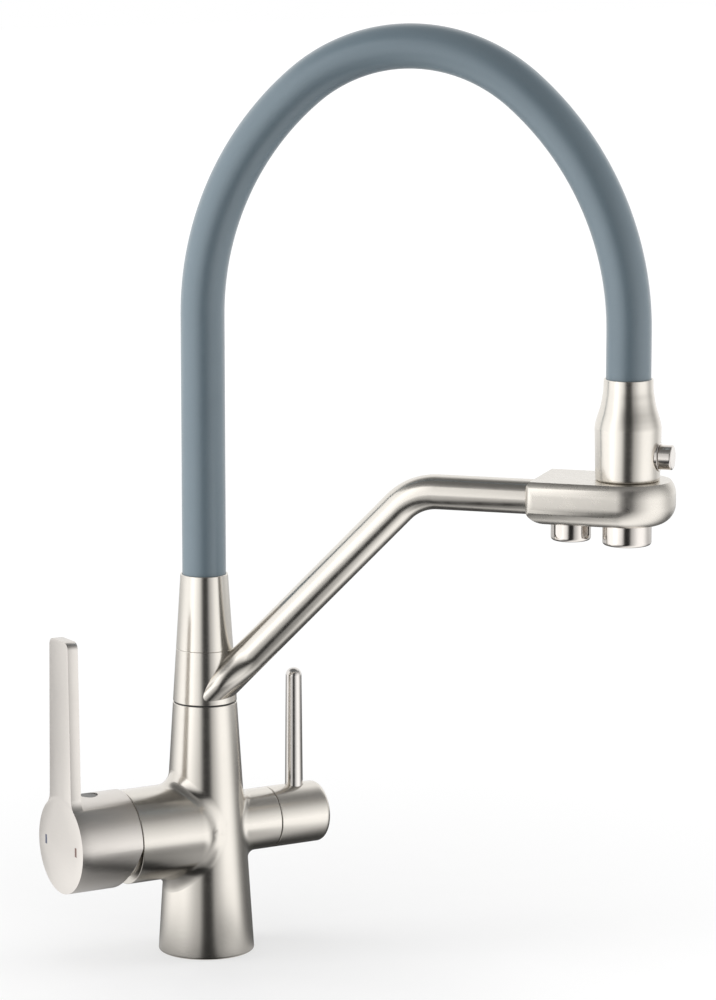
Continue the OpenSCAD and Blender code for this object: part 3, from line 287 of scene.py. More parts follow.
black_plastic = moulded("black acetal", (0.020, 0.020, 0.021), (0.035, 0.034, 0.033), 0.45, 1600)
ivory_plastic = moulded("ivory plastic", (0.66, 0.62, 0.53), (0.72, 0.68, 0.58), 0.45, 1200)
pale_plastic = moulded("pale plastic", (0.62, 0.66, 0.68), (0.70, 0.73, 0.74), 0.4, 1500)
clear_tube = moulded("natural tube", (0.68, 0.68, 0.66), (0.76, 0.76, 0.73), 0.4, 900)
white_ceramic = moulded("lapped ceramic", (0.78, 0.77, 0.73), (0.84, 0.83, 0.80), 0.18, 2200,
                        depth=0.00001)
grey_plastic = moulded("grey cap plastic", (0.13, 0.125, 0.12), (0.18, 0.175, 0.165), 0.4, 1700)
warm_enamel = moulded("warm mark", (0.10, 0.045, 0.035), (0.14, 0.065, 0.05), 0.4, 1700)
cool_enamel = moulded("cool mark", (0.035, 0.045, 0.085), (0.055, 0.065, 0.115), 0.4, 1700)


# ---- Shapes ----

def arc(centre, radius, start, end, steps):
    """Points from start to end, in degrees, round a centre."""
    angles = [start + (end - start) * k / steps for k in range(steps + 1)]
    return [(centre[0] + radius * cosine(a), centre[1] + radius * sine(a)) for a in angles]


def rounded(corners, closed):
    """Points of an outline whose corners, (across, along, radius), are rounded. A point
    close to each arc keeps the shading of the flat beside it level."""
    points, count = [], len(corners)
    for i, (x, y, radius) in enumerate(corners):
        here = Vector((x, y))
        if not radius or (not closed and i in (0, count - 1)):
            points.append(here)
            continue
        before = Vector(corners[i - 1][:2]) - here
        after = Vector(corners[(i + 1) % count][:2]) - here
        a, b = before.normalized(), after.normalized()
        half = a.angle(b) / 2
        reach = radius / math.tan(half)
        centre = here + (a + b).normalized() * (radius / math.sin(half))
        start, end = here + a * reach, here + b * reach
        extra = min(BORDER_SHARE * radius + BORDER_LEAST, (before.length - reach) / 3,
                    (after.length - reach) / 3)
        points.append(start + a * extra)
        first, last = start - centre, end - centre
        angle = first.angle(last)
        steps = max(ARC_STEPS, round(math.degrees(angle) * radius ** 0.5 / ARC_PACE))
        for k in range(steps + 1):
            share = k / steps
            arm = (first * math.sin((1 - share) * angle) + last * math.sin(share * angle))
            points.append(centre + arm / math.sin(angle))
        points.append(end + b * extra)
    return points


def turned(corners, place=UPRIGHT, closed=False, steps=ROUND_STEPS):
    """A solid of revolution about the place's Z."""
    bm = bmesh.new()
    ring = [bm.verts.new((p.x, 0, p.y)) for p in rounded(corners, closed)]
    pairs = zip(ring, ring[1:] + ring[:1] if closed else ring[1:])
    edges = [bm.edges.new(pair) for pair in pairs]
    bmesh.ops.spin(bm, geom=ring + edges, cent=(0, 0, 0), axis=(0, 0, 1), dvec=(0, 0, 0),
                   angle=2 * math.pi, steps=steps, use_merge=True, use_duplicate=False)
    bmesh.ops.remove_doubles(bm, verts=bm.verts[:], dist=TURNED_DIST)
    bmesh.ops.recalc_face_normals(bm, faces=bm.faces[:])
    bmesh.ops.transform(bm, matrix=place, verts=bm.verts[:])
    return bm


def slab(outline, low, high, place=UPRIGHT):
    """A flat outline pushed from low to high along the place's Z."""
    bm = bmesh.new()
    floor = bm.faces.new([bm.verts.new((x, y, low)) for x, y in outline])
    got = bmesh.ops.extrude_face_region(bm, geom=[floor], use_keep_orig=True)["geom"]
    bmesh.ops.translate(bm, vec=(0, 0, high - low),
                        verts=[g for g in got if isinstance(g, bmesh.types.BMVert)])
    bmesh.ops.recalc_face_normals(bm, faces=bm.faces[:])
    bmesh.ops.transform(bm, matrix=place, verts=bm.verts[:])
    return bm


def as_object(name, bm):
    """A mesh object made of a shape, which is used up."""
    mesh = bpy.data.meshes.new(name)
    bm.to_mesh(mesh)
    bm.free()
    obj = bpy.data.objects.new(name, mesh)
    bpy.context.scene.collection.objects.link(obj)
    return obj


def joined(*shapes):
    """One shape made of several closed ones."""
    whole = bmesh.new()
    for bm in shapes:
        mesh = bpy.data.meshes.new("part")
        bm.to_mesh(mesh)
        whole.from_mesh(mesh)
        bpy.data.meshes.remove(mesh)
        bm.free()
    return whole


def carved(bm, *tools, operation="DIFFERENCE"):
    """A shape after closed tools have cut it, or bounded it."""
    blank = as_object("carving", bm)
    helpers = [as_object("carving", tool) for tool in tools]
    for helper in helpers:
        step = blank.modifiers.new("cut", "BOOLEAN")
        step.operation, step.solver, step.object = operation, "EXACT", helper
    result = bmesh.new()
    result.from_object(blank, bpy.context.evaluated_depsgraph_get())
    for obj in [blank, *helpers]:
        mesh = obj.data
        bpy.data.objects.remove(obj)
        bpy.data.meshes.remove(mesh)
    return result


def drill(r, start, end, place=UPRIGHT, sides=DRILL_SIDES):
    """A round cutter along the place's Z."""
    bm = bmesh.new()
    bmesh.ops.create_cone(bm, cap_ends=True, segments=sides, radius1=r, radius2=r,
                          depth=end - start, matrix=place @ shift(0, 0, (start + end) / 2))
    return bm


def bar(low, high, place=UPRIGHT):
    """A square cutter between two corners."""
    bm = bmesh.new()
    size = Vector(high) - Vector(low)
    bmesh.ops.create_cube(bm, size=1, matrix=Matrix.Diagonal((*size, 1)))
    middle = (Vector(low) + Vector(high)) / 2
    bmesh.ops.transform(bm, matrix=place @ Matrix.Translation(middle), verts=bm.verts[:])
    return bm


def piece(name, bm, body, finish, node):
    """The finished piece, in metres, with its crisp edges kept crisp."""
    bmesh.ops.transform(bm, matrix=Matrix.Scale(MM, 4), verts=bm.verts[:])
    for face in bm.faces:
        face.smooth = True
    for edge in bm.edges:
        edge.smooth = (len(edge.link_faces) != 2
                       or edge.calc_face_angle() < math.radians(SHARP_ANGLE))
    obj = as_object(name, bm)
    obj.data.materials.append(finish)
    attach(obj, body)
    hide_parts(node)


def pushed(bm, ring, step):
    """The next ring of a tube, pushed on by a step."""
    got = bmesh.ops.extrude_edge_only(bm, edges=ring)["geom"]
    verts = [g for g in got if isinstance(g, bmesh.types.BMVert)]
    bmesh.ops.translate(bm, vec=step, verts=verts)
    new_ring = [g for g in got if isinstance(g, bmesh.types.BMEdge)
                and all(v in verts for v in g.verts)]
    return new_ring, verts


def tube(radius, legs, place):
    """A round tube that starts at the place, runs along its Z and follows its legs:
    ("run", length) or ("bend", radius, degrees) towards the place's +X."""
    bm = bmesh.new()
    made = bmesh.ops.create_circle(bm, cap_ends=False, segments=TUBE_SIDES, radius=radius)
    ring = list({e for v in made["verts"] for e in v.link_edges})
    first = ring
    at = Matrix.Identity(4)
    for leg in legs:
        if leg[0] == "run":
            ring, _ = pushed(bm, ring, at.to_3x3() @ Vector((0, 0, leg[1])))
            at = at @ shift(0, 0, leg[1])
        else:
            bend_r, degrees = leg[1:]
            centre = at @ Vector((bend_r, 0, 0))
            axis = at.to_3x3() @ Vector((0, 1, 0))
            steps = max(BEND_STEPS, round(degrees / BEND_PACE))
            got = bmesh.ops.spin(bm, geom=ring, cent=centre, axis=axis, dvec=(0, 0, 0),
                                 angle=math.radians(degrees), steps=steps, use_duplicate=False)
            ring = [g for g in got["geom_last"] if isinstance(g, bmesh.types.BMEdge)]
            at = (Matrix.Translation(centre) @ Matrix.Rotation(math.radians(degrees), 4, axis)
                  @ Matrix.Translation(-centre) @ at)
    for end in (first, ring):
        bmesh.ops.edgeloop_fill(bm, edges=end)
    bmesh.ops.recalc_face_normals(bm, faces=bm.faces[:])
    bmesh.ops.transform(bm, matrix=place, verts=bm.verts[:])
    return bm


# Handle of a curve that rounds a square corner, as a share of its chord; the share of a leg
# that the handle leans towards; and the depths at which a fillet's back and edges are sunk
ROUND_HANDLE, LEAN_AT, BACK_SUNK, EDGE_SUNK = 0.39, 0.9, 0.8, 0.25


def junction(corner_at, first_leg, second_leg, size, count=200, arcs=10):
    """A soft fillet in the corner between two surfaces, as a closed ring. corner_at gives
    the corner's point and the outward directions of the two surfaces there, and the two
    legs put a point back on their surfaces."""
    bm = bmesh.new()
    rings = []
    for k in range(count):
        step = corner_at((k + 1) % count / count)[0] - corner_at((k - 1) % count / count)[0]
        forward = step.normalized()
        corner, out_a, out_b = corner_at(k / count)
        legs = []
        for out, other in ((out_a, out_b), (out_b, out_a)):
            leg = forward.cross(out).normalized()
            legs.append(leg if leg.dot(other) > 0 else -leg)
        length = size * max(math.tan(out_a.angle(out_b) / 2), LEAST_LEG)
        start = first_leg(corner + legs[0] * length)
        end = second_leg(corner + legs[1] * length)
        handle = (end - start).length * ROUND_HANDLE
        lean_a = (first_leg(corner + legs[0] * length * LEAN_AT) - start).normalized() * handle
        lean_b = (second_leg(corner + legs[1] * length * LEAN_AT) - end).normalized() * handle
        sunk = corner - (out_a + out_b).normalized() * BACK_SUNK
        points = []
        for i in range(arcs + 1):
            t = i / arcs
            points.append(start * (1 - t) ** 3 + (start + lean_a) * (3 * t * (1 - t) ** 2)
                          + (end + lean_b) * (3 * t ** 2 * (1 - t)) + end * t ** 3)
        points += [end - out_b * EDGE_SUNK, sunk, start - out_a * EDGE_SUNK]
        rings.append([bm.verts.new(p) for p in points])
    for near, far in zip(rings, rings[1:] + rings[:1]):
        for i in range(len(near)):
            j = (i + 1) % len(near)
            bm.faces.new((near[i], near[j], far[j], far[i]))
    bmesh.ops.recalc_face_normals(bm, faces=bm.faces[:])
    return bm


# ---- Column ----

column = turned([(0, INSERT_H, 0), (INSERT_R, INSERT_H, 0), (INSERT_R, 0, BORE_EDGE),
                 (GASKET_IN_R, 0, GROOVE_EDGE), (GASKET_IN_R, GASKET_H, 0),
                 (GASKET_OUT_R, GASKET_H, 0), (GASKET_OUT_R, 0, GROOVE_EDGE),
                 (BASE_R, 0, BASE_EDGE), (column_r(BODY_H), BODY_H, FACE_EDGE),
                 (FOOT_R, BODY_H, 0), (FOOT_R, BODY_H - FOOT_L, 0), (0, BODY_H - FOOT_L, 0)])

# The mixer housing draws in to the column's front along two arcs
NECK_R = column_r(VALVE_Z) - NECK_SUNK
NECK_DROP = MIXER_R - NECK_R
NECK_ARC_R = (NECK_DROP ** 2 + MIXER_BLEND_L ** 2) / (4 * NECK_DROP)


def mixer_profile_r(x):
    """Radius of the mixer housing at a distance from the column's axis."""
    if x >= MIXER_BLEND_L:
        return MIXER_R
    if x < MIXER_BLEND_L / 2:
        return NECK_R + NECK_ARC_R - math.sqrt(NECK_ARC_R ** 2 - x ** 2)
    return MIXER_R - NECK_ARC_R + math.sqrt(NECK_ARC_R ** 2 - (MIXER_BLEND_L - x) ** 2)


neck_levels = [MIXER_BLEND_L * k / NECK_STEPS for k in range(NECK_STEPS + 1)]
neck = [(mixer_profile_r(level), level, 0) for level in neck_levels]
mixer_housing = turned([(0, 0, 0), *neck, (MIXER_R, MIXER_END, RIM_EDGE),
                        (NUT_BORE_R, MIXER_END, BORE_EDGE), (NUT_BORE_R, MIXER_END - NUT_BORE_L, 0),
                        (CARTRIDGE_BORE_R, MIXER_END - NUT_BORE_L, 0),
                        (CARTRIDGE_BORE_R, CARTRIDGE_SEAT, 0), (0, CARTRIDGE_SEAT, 0)], MIXER)
filter_housing = turned([(0, 0, 0), (FILTER_R, 0, 0), (FILTER_R, FILTER_END, RIM_EDGE),
                         (HEADWORK_R, FILTER_END, BORE_EDGE),
                         (HEADWORK_R, FILTER_END - HEADWORK_L, 0),
                         (0, FILTER_END - HEADWORK_L, 0)], FILTER)


def on_column(point):
    """The column's surface at a point's height and direction."""
    out = Vector((point.x, point.y, 0)).normalized()
    return out * column_r(point.z) + Vector((0, 0, point.z))


def on_filter_housing(point):
    """The filter housing's surface beside a point."""
    out = Vector((0, point.y, point.z - VALVE_Z)).normalized()
    return Vector((point.x, 0, VALVE_Z)) + out * FILTER_R


def on_mixer_housing(point):
    """The mixer housing's surface beside a point."""
    out = Vector((0, point.y, point.z - VALVE_Z)).normalized()
    return Vector((point.x, 0, VALVE_Z)) + out * mixer_profile_r(max(0, -point.x))


def filter_corner(share):
    """Corner between the column and the filter housing, all the way round."""
    y, z = FILTER_R * sine(360 * share), VALVE_Z + FILTER_R * cosine(360 * share)
    radius = column_r(z)
    x = math.sqrt(radius ** 2 - y ** 2)
    out_column = Vector((x, y, radius * TAPER))
    return Vector((x, y, z)), Vector((0, y, z - VALVE_Z)).normalized(), out_column.normalized()


# Passes that find a corner's height, and the least height of the housing's normal there
CORNER_PASSES, LEAST_RISE = 8, 0.01


def mixer_corner(share):
    """Corner between the column and the mixer housing: over the top from the front to the
    back, and on under the bottom."""
    above = share < 0.5
    sweep = (MIXER_OPEN - 90) * cosine(360 * share)
    z = VALVE_Z
    for _ in range(CORNER_PASSES):
        radius = column_r(z)
        x, y = -radius * cosine(sweep), radius * sine(sweep)
        rise = math.sqrt(max(mixer_profile_r(-x) ** 2 - y ** 2, 0))
        z = VALVE_Z + (rise if above else -rise)
    side = 1 if above else -1
    out_housing = Vector((0, y, side * max(rise, LEAST_RISE))).normalized()
    out_column = Vector((x, y, radius * TAPER)).normalized()
    return Vector((x, y, z)), out_housing, out_column


filter_fillet = junction(filter_corner, on_filter_housing, on_column, FILTER_FILLET)
mixer_fillet = junction(mixer_corner, on_mixer_housing, on_column, MIXER_FILLET)
piece("tap_body", joined(column, mixer_housing, filter_housing, filter_fillet, mixer_fillet),
      "body", column_nickel, "cast_body")

# ---- Mixer lever ----


def lever_blank():
    """The lever before its edges are eased: disc, blade and the skirt behind the disc."""
    fillet_y = BLADE_ROOT_W / 2 + BLADE_FILLET
    fillet_x = math.sqrt((SKIRT_R + BLADE_FILLET) ** 2 - fillet_y ** 2)
    lean = math.degrees(math.atan2(fillet_y, fillet_x))
    front = PLATE_BACK + PLATE_T
    bm = bmesh.new()

    def verts(points):
        return [bm.verts.new((x, y, front)) for x, y in points]

    disc = verts(arc((0, 0), SKIRT_R, lean, 360 - lean, 110))
    under = verts(arc((0, 0), SKIRT_R, -lean, lean, 26)[1:-1])
    side = arc((fillet_x, fillet_y), BLADE_FILLET, 180 + lean, 270, 14)[1:]
    corner = (BLADE_H - BLADE_CORNER, BLADE_TIP_W / 2 - BLADE_CORNER)
    side += arc(corner, BLADE_CORNER, 90, 0, 8)
    high, low = verts(side), verts((x, -y) for x, y in side)
    bm.faces.new(disc + under)
    bm.faces.new([disc[-1], *low, *reversed(high), disc[0], *reversed(under)])
    bmesh.ops.recalc_face_normals(bm, faces=bm.faces[:])
    if bm.faces[:][0].normal.z < 0:
        bmesh.ops.reverse_faces(bm, faces=bm.faces[:])
    got = bmesh.ops.extrude_face_region(bm, geom=bm.faces[:], use_keep_orig=True)["geom"]
    backs = [g for g in got if isinstance(g, bmesh.types.BMFace)]
    bmesh.ops.translate(bm, vec=(0, 0, -PLATE_T),
                        verts=[g for g in got if isinstance(g, bmesh.types.BMVert)])
    disc_back = min(backs, key=lambda f: f.calc_center_median().x)
    ring = bmesh.ops.inset_region(bm, faces=[disc_back], thickness=SKIRT_WALL,
                                  use_even_offset=True)["faces"]
    got = bmesh.ops.extrude_face_region(bm, geom=ring)["geom"]
    bmesh.ops.translate(bm, vec=(0, 0, SKIRT_FRONT - PLATE_BACK),
                        verts=[g for g in got if isinstance(g, bmesh.types.BMVert)])
    bmesh.ops.delete(bm, geom=[f for f in ring if f.is_valid], context="FACES_ONLY")
    bmesh.ops.recalc_face_normals(bm, faces=bm.faces[:])
    return bm


def relieved(bm):
    """The skirt's rim, cut back below so that the lever can tilt."""
    tilt = shift(0, 0, TILT_D) @ turn(LEVER_TILT, "Y")
    spot = tilt @ Vector((0, 0, MIXER_END + TILT_GAP - TILT_D))
    out = tilt.to_3x3() @ Vector((0, 0, -1))
    cut = bmesh.ops.bisect_plane(bm, geom=bm.verts[:] + bm.edges[:] + bm.faces[:], dist=CUT_DIST,
                                 plane_co=spot, plane_no=out, clear_outer=True)["geom_cut"]
    edges = [g for g in cut if isinstance(g, bmesh.types.BMEdge)]
    bmesh.ops.triangle_fill(bm, use_beauty=True, edges=edges)
    bmesh.ops.recalc_face_normals(bm, faces=bm.faces[:])
    return bm


def eased(bm, size, angle=50, steps=3):
    """Crisp edges given a small radius, and the flats beside them a narrow border."""
    edges = [e for e in bm.edges if len(e.link_faces) == 2
             and e.calc_face_angle() > math.radians(angle)]
    bmesh.ops.bevel(bm, geom=edges, offset=size, offset_type="OFFSET", segments=steps,
                    profile=0.5, affect="EDGES", material=-1, clamp_overlap=True)
    return bm


lever = eased(relieved(lever_blank()), RIM_EDGE)
bmesh.ops.transform(lever, matrix=MIXER, verts=lever.verts[:])
hub = turned([(0, HUB_FRONT, 0), (HUB_R, HUB_FRONT, HUB_EDGE), (HUB_R, PLATE_BACK + LAP, 0),
              (0, PLATE_BACK + LAP, 0)], MIXER, steps=64)
hub = carved(hub, bar((-STEM_T / 2, -STEM_W / 2, HUB_FRONT - LAP),
                      (STEM_T / 2, STEM_W / 2, STEM_TIP), MIXER))
cap_place = MIXER @ shift(0, 0, CAP_D) @ turn(90, "Y")
lever_front = PLATE_BACK + PLATE_T
marks = [bar((-MARK_H / 2, side * MARK_Y - MARK_W / 2, lever_front - MARK_DEPTH),
             (MARK_H / 2, side * MARK_Y + MARK_W / 2, lever_front + LAP), MIXER)
         for side in (-1, 1)]
lever = carved(lever, drill(CAP_R + CAP_GAP, HUB_R + LAP, SKIRT_R + OVERRUN, cap_place), *marks)
piece("mixer_handle_shell", joined(lever, hub), "mixer_handle", lever_nickel,
      "mixer_lever")

# ---- Filter lever ----

knob = turned([(0, KNOB_FRONT + KNOB_RECESS_L, 0), (KNOB_RECESS_R, KNOB_FRONT + KNOB_RECESS_L, 0),
               (KNOB_RECESS_R, KNOB_FRONT, FACE_EDGE), (FILTER_R, KNOB_FRONT, RIM_EDGE),
               (FILTER_R, KNOB_FRONT + KNOB_L, KNOB_ROUND), (0, KNOB_FRONT + KNOB_L, 0)], FILTER)
knob = carved(knob, drill(ROD_FOOT_R + ROD_GAP, ROD_SEAT - LAP, FILTER_R + OVERRUN, ROD),
              drill(KNOB_GRUB_R, FILTER_R / 2, FILTER_R + OVERRUN, ROD @ turn(180, "Y")))
piece("filter_knob_shell", knob, "filter_handle", valve_nickel, "filter_knob")
rod = turned([(0, ROD_SEAT - LAP, 0), (ROD_FOOT_R, ROD_SEAT - LAP, 0),
              (ROD_TIP_R, ROD_TOP, ROD_TIP_R - ROD_FLAT_R), (0, ROD_TOP, 0)], ROD, steps=72)
piece("filter_rod_shell", rod, "filter_handle", rod_nickel, "filter_rod")

# ---- Collar, cone, arm ----

# Steps of the saddle's change of width, and its foot's height inside the collar
SADDLE_STEPS, SADDLE_FOOT = 30, 0.3

collar = turned([(SWIVEL_R, COLLAR_Z, BORE_EDGE), (column_r(COLLAR_Z), COLLAR_Z, FACE_EDGE),
                 (column_r(CONE_Z), CONE_Z, SEAM_EDGE), (SWIVEL_R, CONE_Z, BORE_EDGE)],
                ARM, closed=True)


def saddle():
    """Arm's root: a wide oval inside the collar that draws in to the round tube."""
    bm = bmesh.new()
    made = bmesh.ops.create_circle(bm, cap_ends=False, segments=TUBE_SIDES, radius=ARM_R)
    first = ring = list({e for v in made["verts"] for e in v.link_edges})
    wide = now = SADDLE_HALF_W / ARM_R
    bmesh.ops.scale(bm, vec=(1, wide, 1), verts=made["verts"])
    ring, _ = pushed(bm, ring, (0, 0, SADDLE_FULL_L))
    for k in range(1, SADDLE_STEPS + 1):
        ring, verts = pushed(bm, ring, (0, 0, (SADDLE_L - SADDLE_FULL_L) / SADDLE_STEPS))
        want = wide + (1 - wide) * (1 - cosine(180 * k / SADDLE_STEPS)) / 2
        bmesh.ops.scale(bm, vec=(1, want / now, 1), verts=verts)
        now = want
    for end in (first, ring):
        bmesh.ops.edgeloop_fill(bm, edges=end)
    bmesh.ops.recalc_face_normals(bm, faces=bm.faces[:])
    bmesh.ops.transform(bm, matrix=SLOPE, verts=bm.verts[:])
    bmesh.ops.bisect_plane(bm, geom=bm.verts[:] + bm.edges[:] + bm.faces[:], dist=CUT_DIST,
                           plane_co=(0, 0, COLLAR_Z + SADDLE_FOOT), plane_no=(0, 0, -1),
                           clear_outer=True)
    open_edges = [e for e in bm.edges if e.is_boundary]
    bmesh.ops.edgeloop_fill(bm, edges=open_edges)
    bmesh.ops.recalc_face_normals(bm, faces=bm.faces[:])
    return bm


core_low, core_top = COLLAR_Z - 5, CONE_Z + 30
core = drill(SWIVEL_R, core_low, core_top, sides=96)
piece("swivel_collar_shell", joined(collar, carved(saddle(), core)), "spout",
      column_nickel, "swivel_collar")

slope_l = (ARM_Z - BODY_H) / sine(ARM_RISE)
bend_back = ARM_BEND_R * math.tan(math.radians(ARM_RISE / 2))
corner_s = slope_l * cosine(ARM_RISE)
arm = tube(ARM_R, [("run", slope_l - bend_back - SADDLE_L + LAP), ("bend", ARM_BEND_R, ARM_RISE),
                   ("run", TAIL_S - corner_s - bend_back + SOCKET)],
           SLOPE @ shift(0, 0, SADDLE_L - LAP))
piece("spout_arm_tube", arm, "spout", arm_nickel, "spout_arm")

socket_r = HOSE_R + FIT_GAP
cone_socket_z = CONE_TOP_Z - HOSE_SOCKET
cone = turned([(CAVITY_R, CONE_Z, BORE_EDGE), (column_r(CONE_Z), CONE_Z, SEAM_EDGE),
               (CONE_TOP_R, CONE_TOP_Z, RIM_EDGE), (socket_r, CONE_TOP_Z, SEAM_EDGE),
               (socket_r, cone_socket_z, 0), (CONE_BORE_R, cone_socket_z, 0),
               (CONE_BORE_R, CONE_Z + CAVITY_H, 0), (CAVITY_R, CONE_Z + CAVITY_H, 0)],
              closed=True)
piece("hose_cone_shell", cone, "spout", column_nickel, "hose_cone")

# ---- Outlet block, outlets, bell and diverter ----

# Borders of the block's flat top and floor beside their rounds, and steps of its nose
TOP_BORDER, FLOOR_BORDER, NOSE_STEPS = 0.9, 0.8, 60


def block_curve():
    """Right side of the block's section, from the flat top's edge down to the floor: a
    shoulder that meets the top at an edge, a short upright and a round below."""
    top = BLOCK_H / 2
    crease = math.degrees(math.asin(BLOCK_SHOULDER_H / BLOCK_TOP_ROUND))
    shoulder_centre = (BLOCK_HALF_W - BLOCK_TOP_ROUND, top - BLOCK_SHOULDER_H)
    low_centre = (BLOCK_HALF_W - BLOCK_LOW_ROUND, -top + BLOCK_LOW_ROUND)
    return [*arc(shoulder_centre, BLOCK_TOP_ROUND, crease, 0, steps=10),
            *arc(low_centre, BLOCK_LOW_ROUND, 0, -90, steps=18)]


def block():
    """A straight part, bounded by its section, its side view and its plan, and a nose that
    is spun from the end of the section."""
    top, wide = BLOCK_H / 2, BLOCK_HALF_W
    curve = block_curve()
    crease_x, floor_x = curve[0][0], curve[-1][0]
    half = [(crease_x - TOP_BORDER, top), *curve, (floor_x - FLOOR_BORDER, -top)]
    outline = [(0, top), *half, (0, -top), *((-x, z) for x, z in reversed(half))]
    straight = slab(outline, -BLOCK_TAIL, 0, turn(90, "Z") @ turn(90, "X"))
    tail = [(wide - BLOCK_TAIL - x, z) for x, z in curve]
    side_view = [(LAP, top + CLEAR), (tail[0][0], top + CLEAR), *tail,
                 (tail[-1][0], -top - CLEAR), (LAP, -top - CLEAR)]
    round_x, round_y = BLOCK_SIDE_ROUND - BLOCK_TAIL, wide - BLOCK_SIDE_ROUND
    corner = arc((round_x, round_y), BLOCK_SIDE_ROUND, 90, 180, steps=18)
    upper = [(LAP, wide + CLEAR), (round_x, wide + CLEAR), *corner]
    plan = [*upper, *((x, -y) for x, y in reversed(upper))]
    bm = carved(straight, slab(side_view, -wide - CLEAR, wide + CLEAR, turn(90, "X")),
                slab(plan, -top - CLEAR, top + CLEAR), operation="INTERSECT")
    cap = [f for f in bm.faces if all(abs(v.co.x) < SEAM_DIST for v in f.verts)]
    bmesh.ops.delete(bm, geom=cap, context="FACES_ONLY")
    rim = [e for e in bm.edges if e.is_boundary and all(v.co.y > -SEAM_DIST for v in e.verts)]
    verts = list({v for e in rim for v in e.verts})
    bmesh.ops.spin(bm, geom=verts + rim, cent=(0, 0, 0), axis=(0, 0, 1), dvec=(0, 0, 0),
                   angle=-math.pi, steps=NOSE_STEPS, use_duplicate=False)
    bmesh.ops.remove_doubles(bm, verts=bm.verts[:], dist=SEAM_DIST)
    bmesh.ops.recalc_face_normals(bm, faces=bm.faces[:])
    bmesh.ops.transform(bm, matrix=BLOCK, verts=bm.verts[:])
    return bm


piece("outlet_block_shell", block(), "spout", block_nickel, "outlet_block")


def outlet(r, drop, place):
    """An outlet's housing: a pipe with a narrower lip round its mouth."""
    inner = r - OUTLET_WALL
    mouth_r, lip_z = inner - OUTLET_LIP / 2, -drop + OUTLET_LIP
    return turned([(r, -drop, OUTLET_ROUND), (r, SOCKET, 0), (inner, SOCKET, 0),
                   (inner, lip_z, 0), (mouth_r, lip_z, GROOVE_EDGE),
                   (mouth_r, -drop, FACE_EDGE)], place, closed=True, steps=96)


piece("mixed_outlet_shell", outlet(MIXED_R, MIXED_DROP, ARM @ shift(REACH, 0, BLOCK_LOW)),
      "spout", bright_nickel, "mixed_outlet")
pure_place = ARM @ shift(PURE_S, 0, BLOCK_LOW)
slot_r, slot_z = SLOT_W / 2, SLOT_RIM + SLOT_W / 2 - PURE_DROP
slot_top = 0.01
slot_round = arc((0, slot_z), slot_r, 180, 360, steps=18)
slots = [slab([(slot_r, slot_top), (-slot_r, slot_top), *slot_round],
              PURE_R - SLOT_DEPTH, PURE_R + OVERRUN,
              pure_place @ turn(SLOT_TURN + quarter * 90, "Z") @ turn(90, "Z") @ turn(90, "X"))
         for quarter in range(4)]
piece("filtered_outlet_shell", carved(outlet(PURE_R, PURE_DROP, pure_place), *slots),
      "spout", bright_nickel, "filtered_outlet")


def swell_points():
    """Points of the bell's side above its straight foot, on a smooth line through its
    measured heights and radii."""
    marks = [(0, BELL_FOOT_R), *BELL_SWELL]
    points = []
    for i in range(1, len(marks) - 1):
        (z0, r0), (z1, r1), (z2, r2) = marks[i], marks[i + 1], marks[min(i + 2, len(marks) - 1)]
        lean0 = (r1 - marks[i - 1][1]) / (z1 - marks[i - 1][0])
        lean1 = (r2 - r0) / (z2 - z0)
        for k in range(SWELL_STEPS):
            t, length = k / SWELL_STEPS, z1 - z0
            by_leans = lean0 * (t ** 3 - 2 * t ** 2 + t) + lean1 * (t ** 3 - t ** 2)
            by_radii = r0 * (2 * t ** 3 - 3 * t ** 2 + 1) + r1 * (3 * t ** 2 - 2 * t ** 3)
            points.append((by_radii + length * by_leans, z0 + length * t))
    return points


bell = turned([(BELL_BORE_R, 0, 0), (BELL_FOOT_R, 0, BELL_FOOT_ROUND),
               *((r, z, 0) for r, z in swell_points()), (BELL_SWELL[-1][1], BELL_H, FACE_EDGE),
               (socket_r, BELL_H, SEAM_EDGE), (socket_r, BELL_H - HOSE_SOCKET, 0),
               (BELL_BORE_R, BELL_H - HOSE_SOCKET, 0)], BELL, closed=True)
bell = carved(bell, drill(BUSH_R + FIT_GAP, BUSH_SEAT, BELL_R + CLEAR, DIVERTER))
piece("hose_bell_shell", bell, "spout", column_nickel, "hose_bell")

bush_front = BUSH_SEAT + BUSH_T
bush = turned([(DIVERTER_STEM_R, BUSH_SEAT - BUSH_IN_L, 0), (BUSH_IN_R, BUSH_SEAT - BUSH_IN_L, 0),
               (BUSH_IN_R, BUSH_SEAT, 0), (BUSH_R, BUSH_SEAT, 0), (BUSH_R, bush_front, FACE_EDGE),
               (DIVERTER_STEM_R, bush_front, BORE_EDGE)], DIVERTER, closed=True, steps=72)
piece("diverter_bush_shell", bush, "spout", bright_nickel, "diverter_bush")
pull_back = bush_front + PULL_GAP
pull_bore, pull_front = pull_back + DIVERTER_L / 2, pull_back + DIVERTER_L
pull = turned([(0, pull_bore, 0), (DIVERTER_STEM_R, pull_bore, 0),
               (DIVERTER_STEM_R, pull_back, BORE_EDGE), (DIVERTER_R, pull_back, FACE_EDGE),
               (DIVERTER_R, pull_front, PULL_EDGE), (0, pull_front, 0)], DIVERTER, steps=72)
piece("diverter_knob_shell", pull, "diverter", bright_nickel, "diverter_knob")

# ---- Hose ----

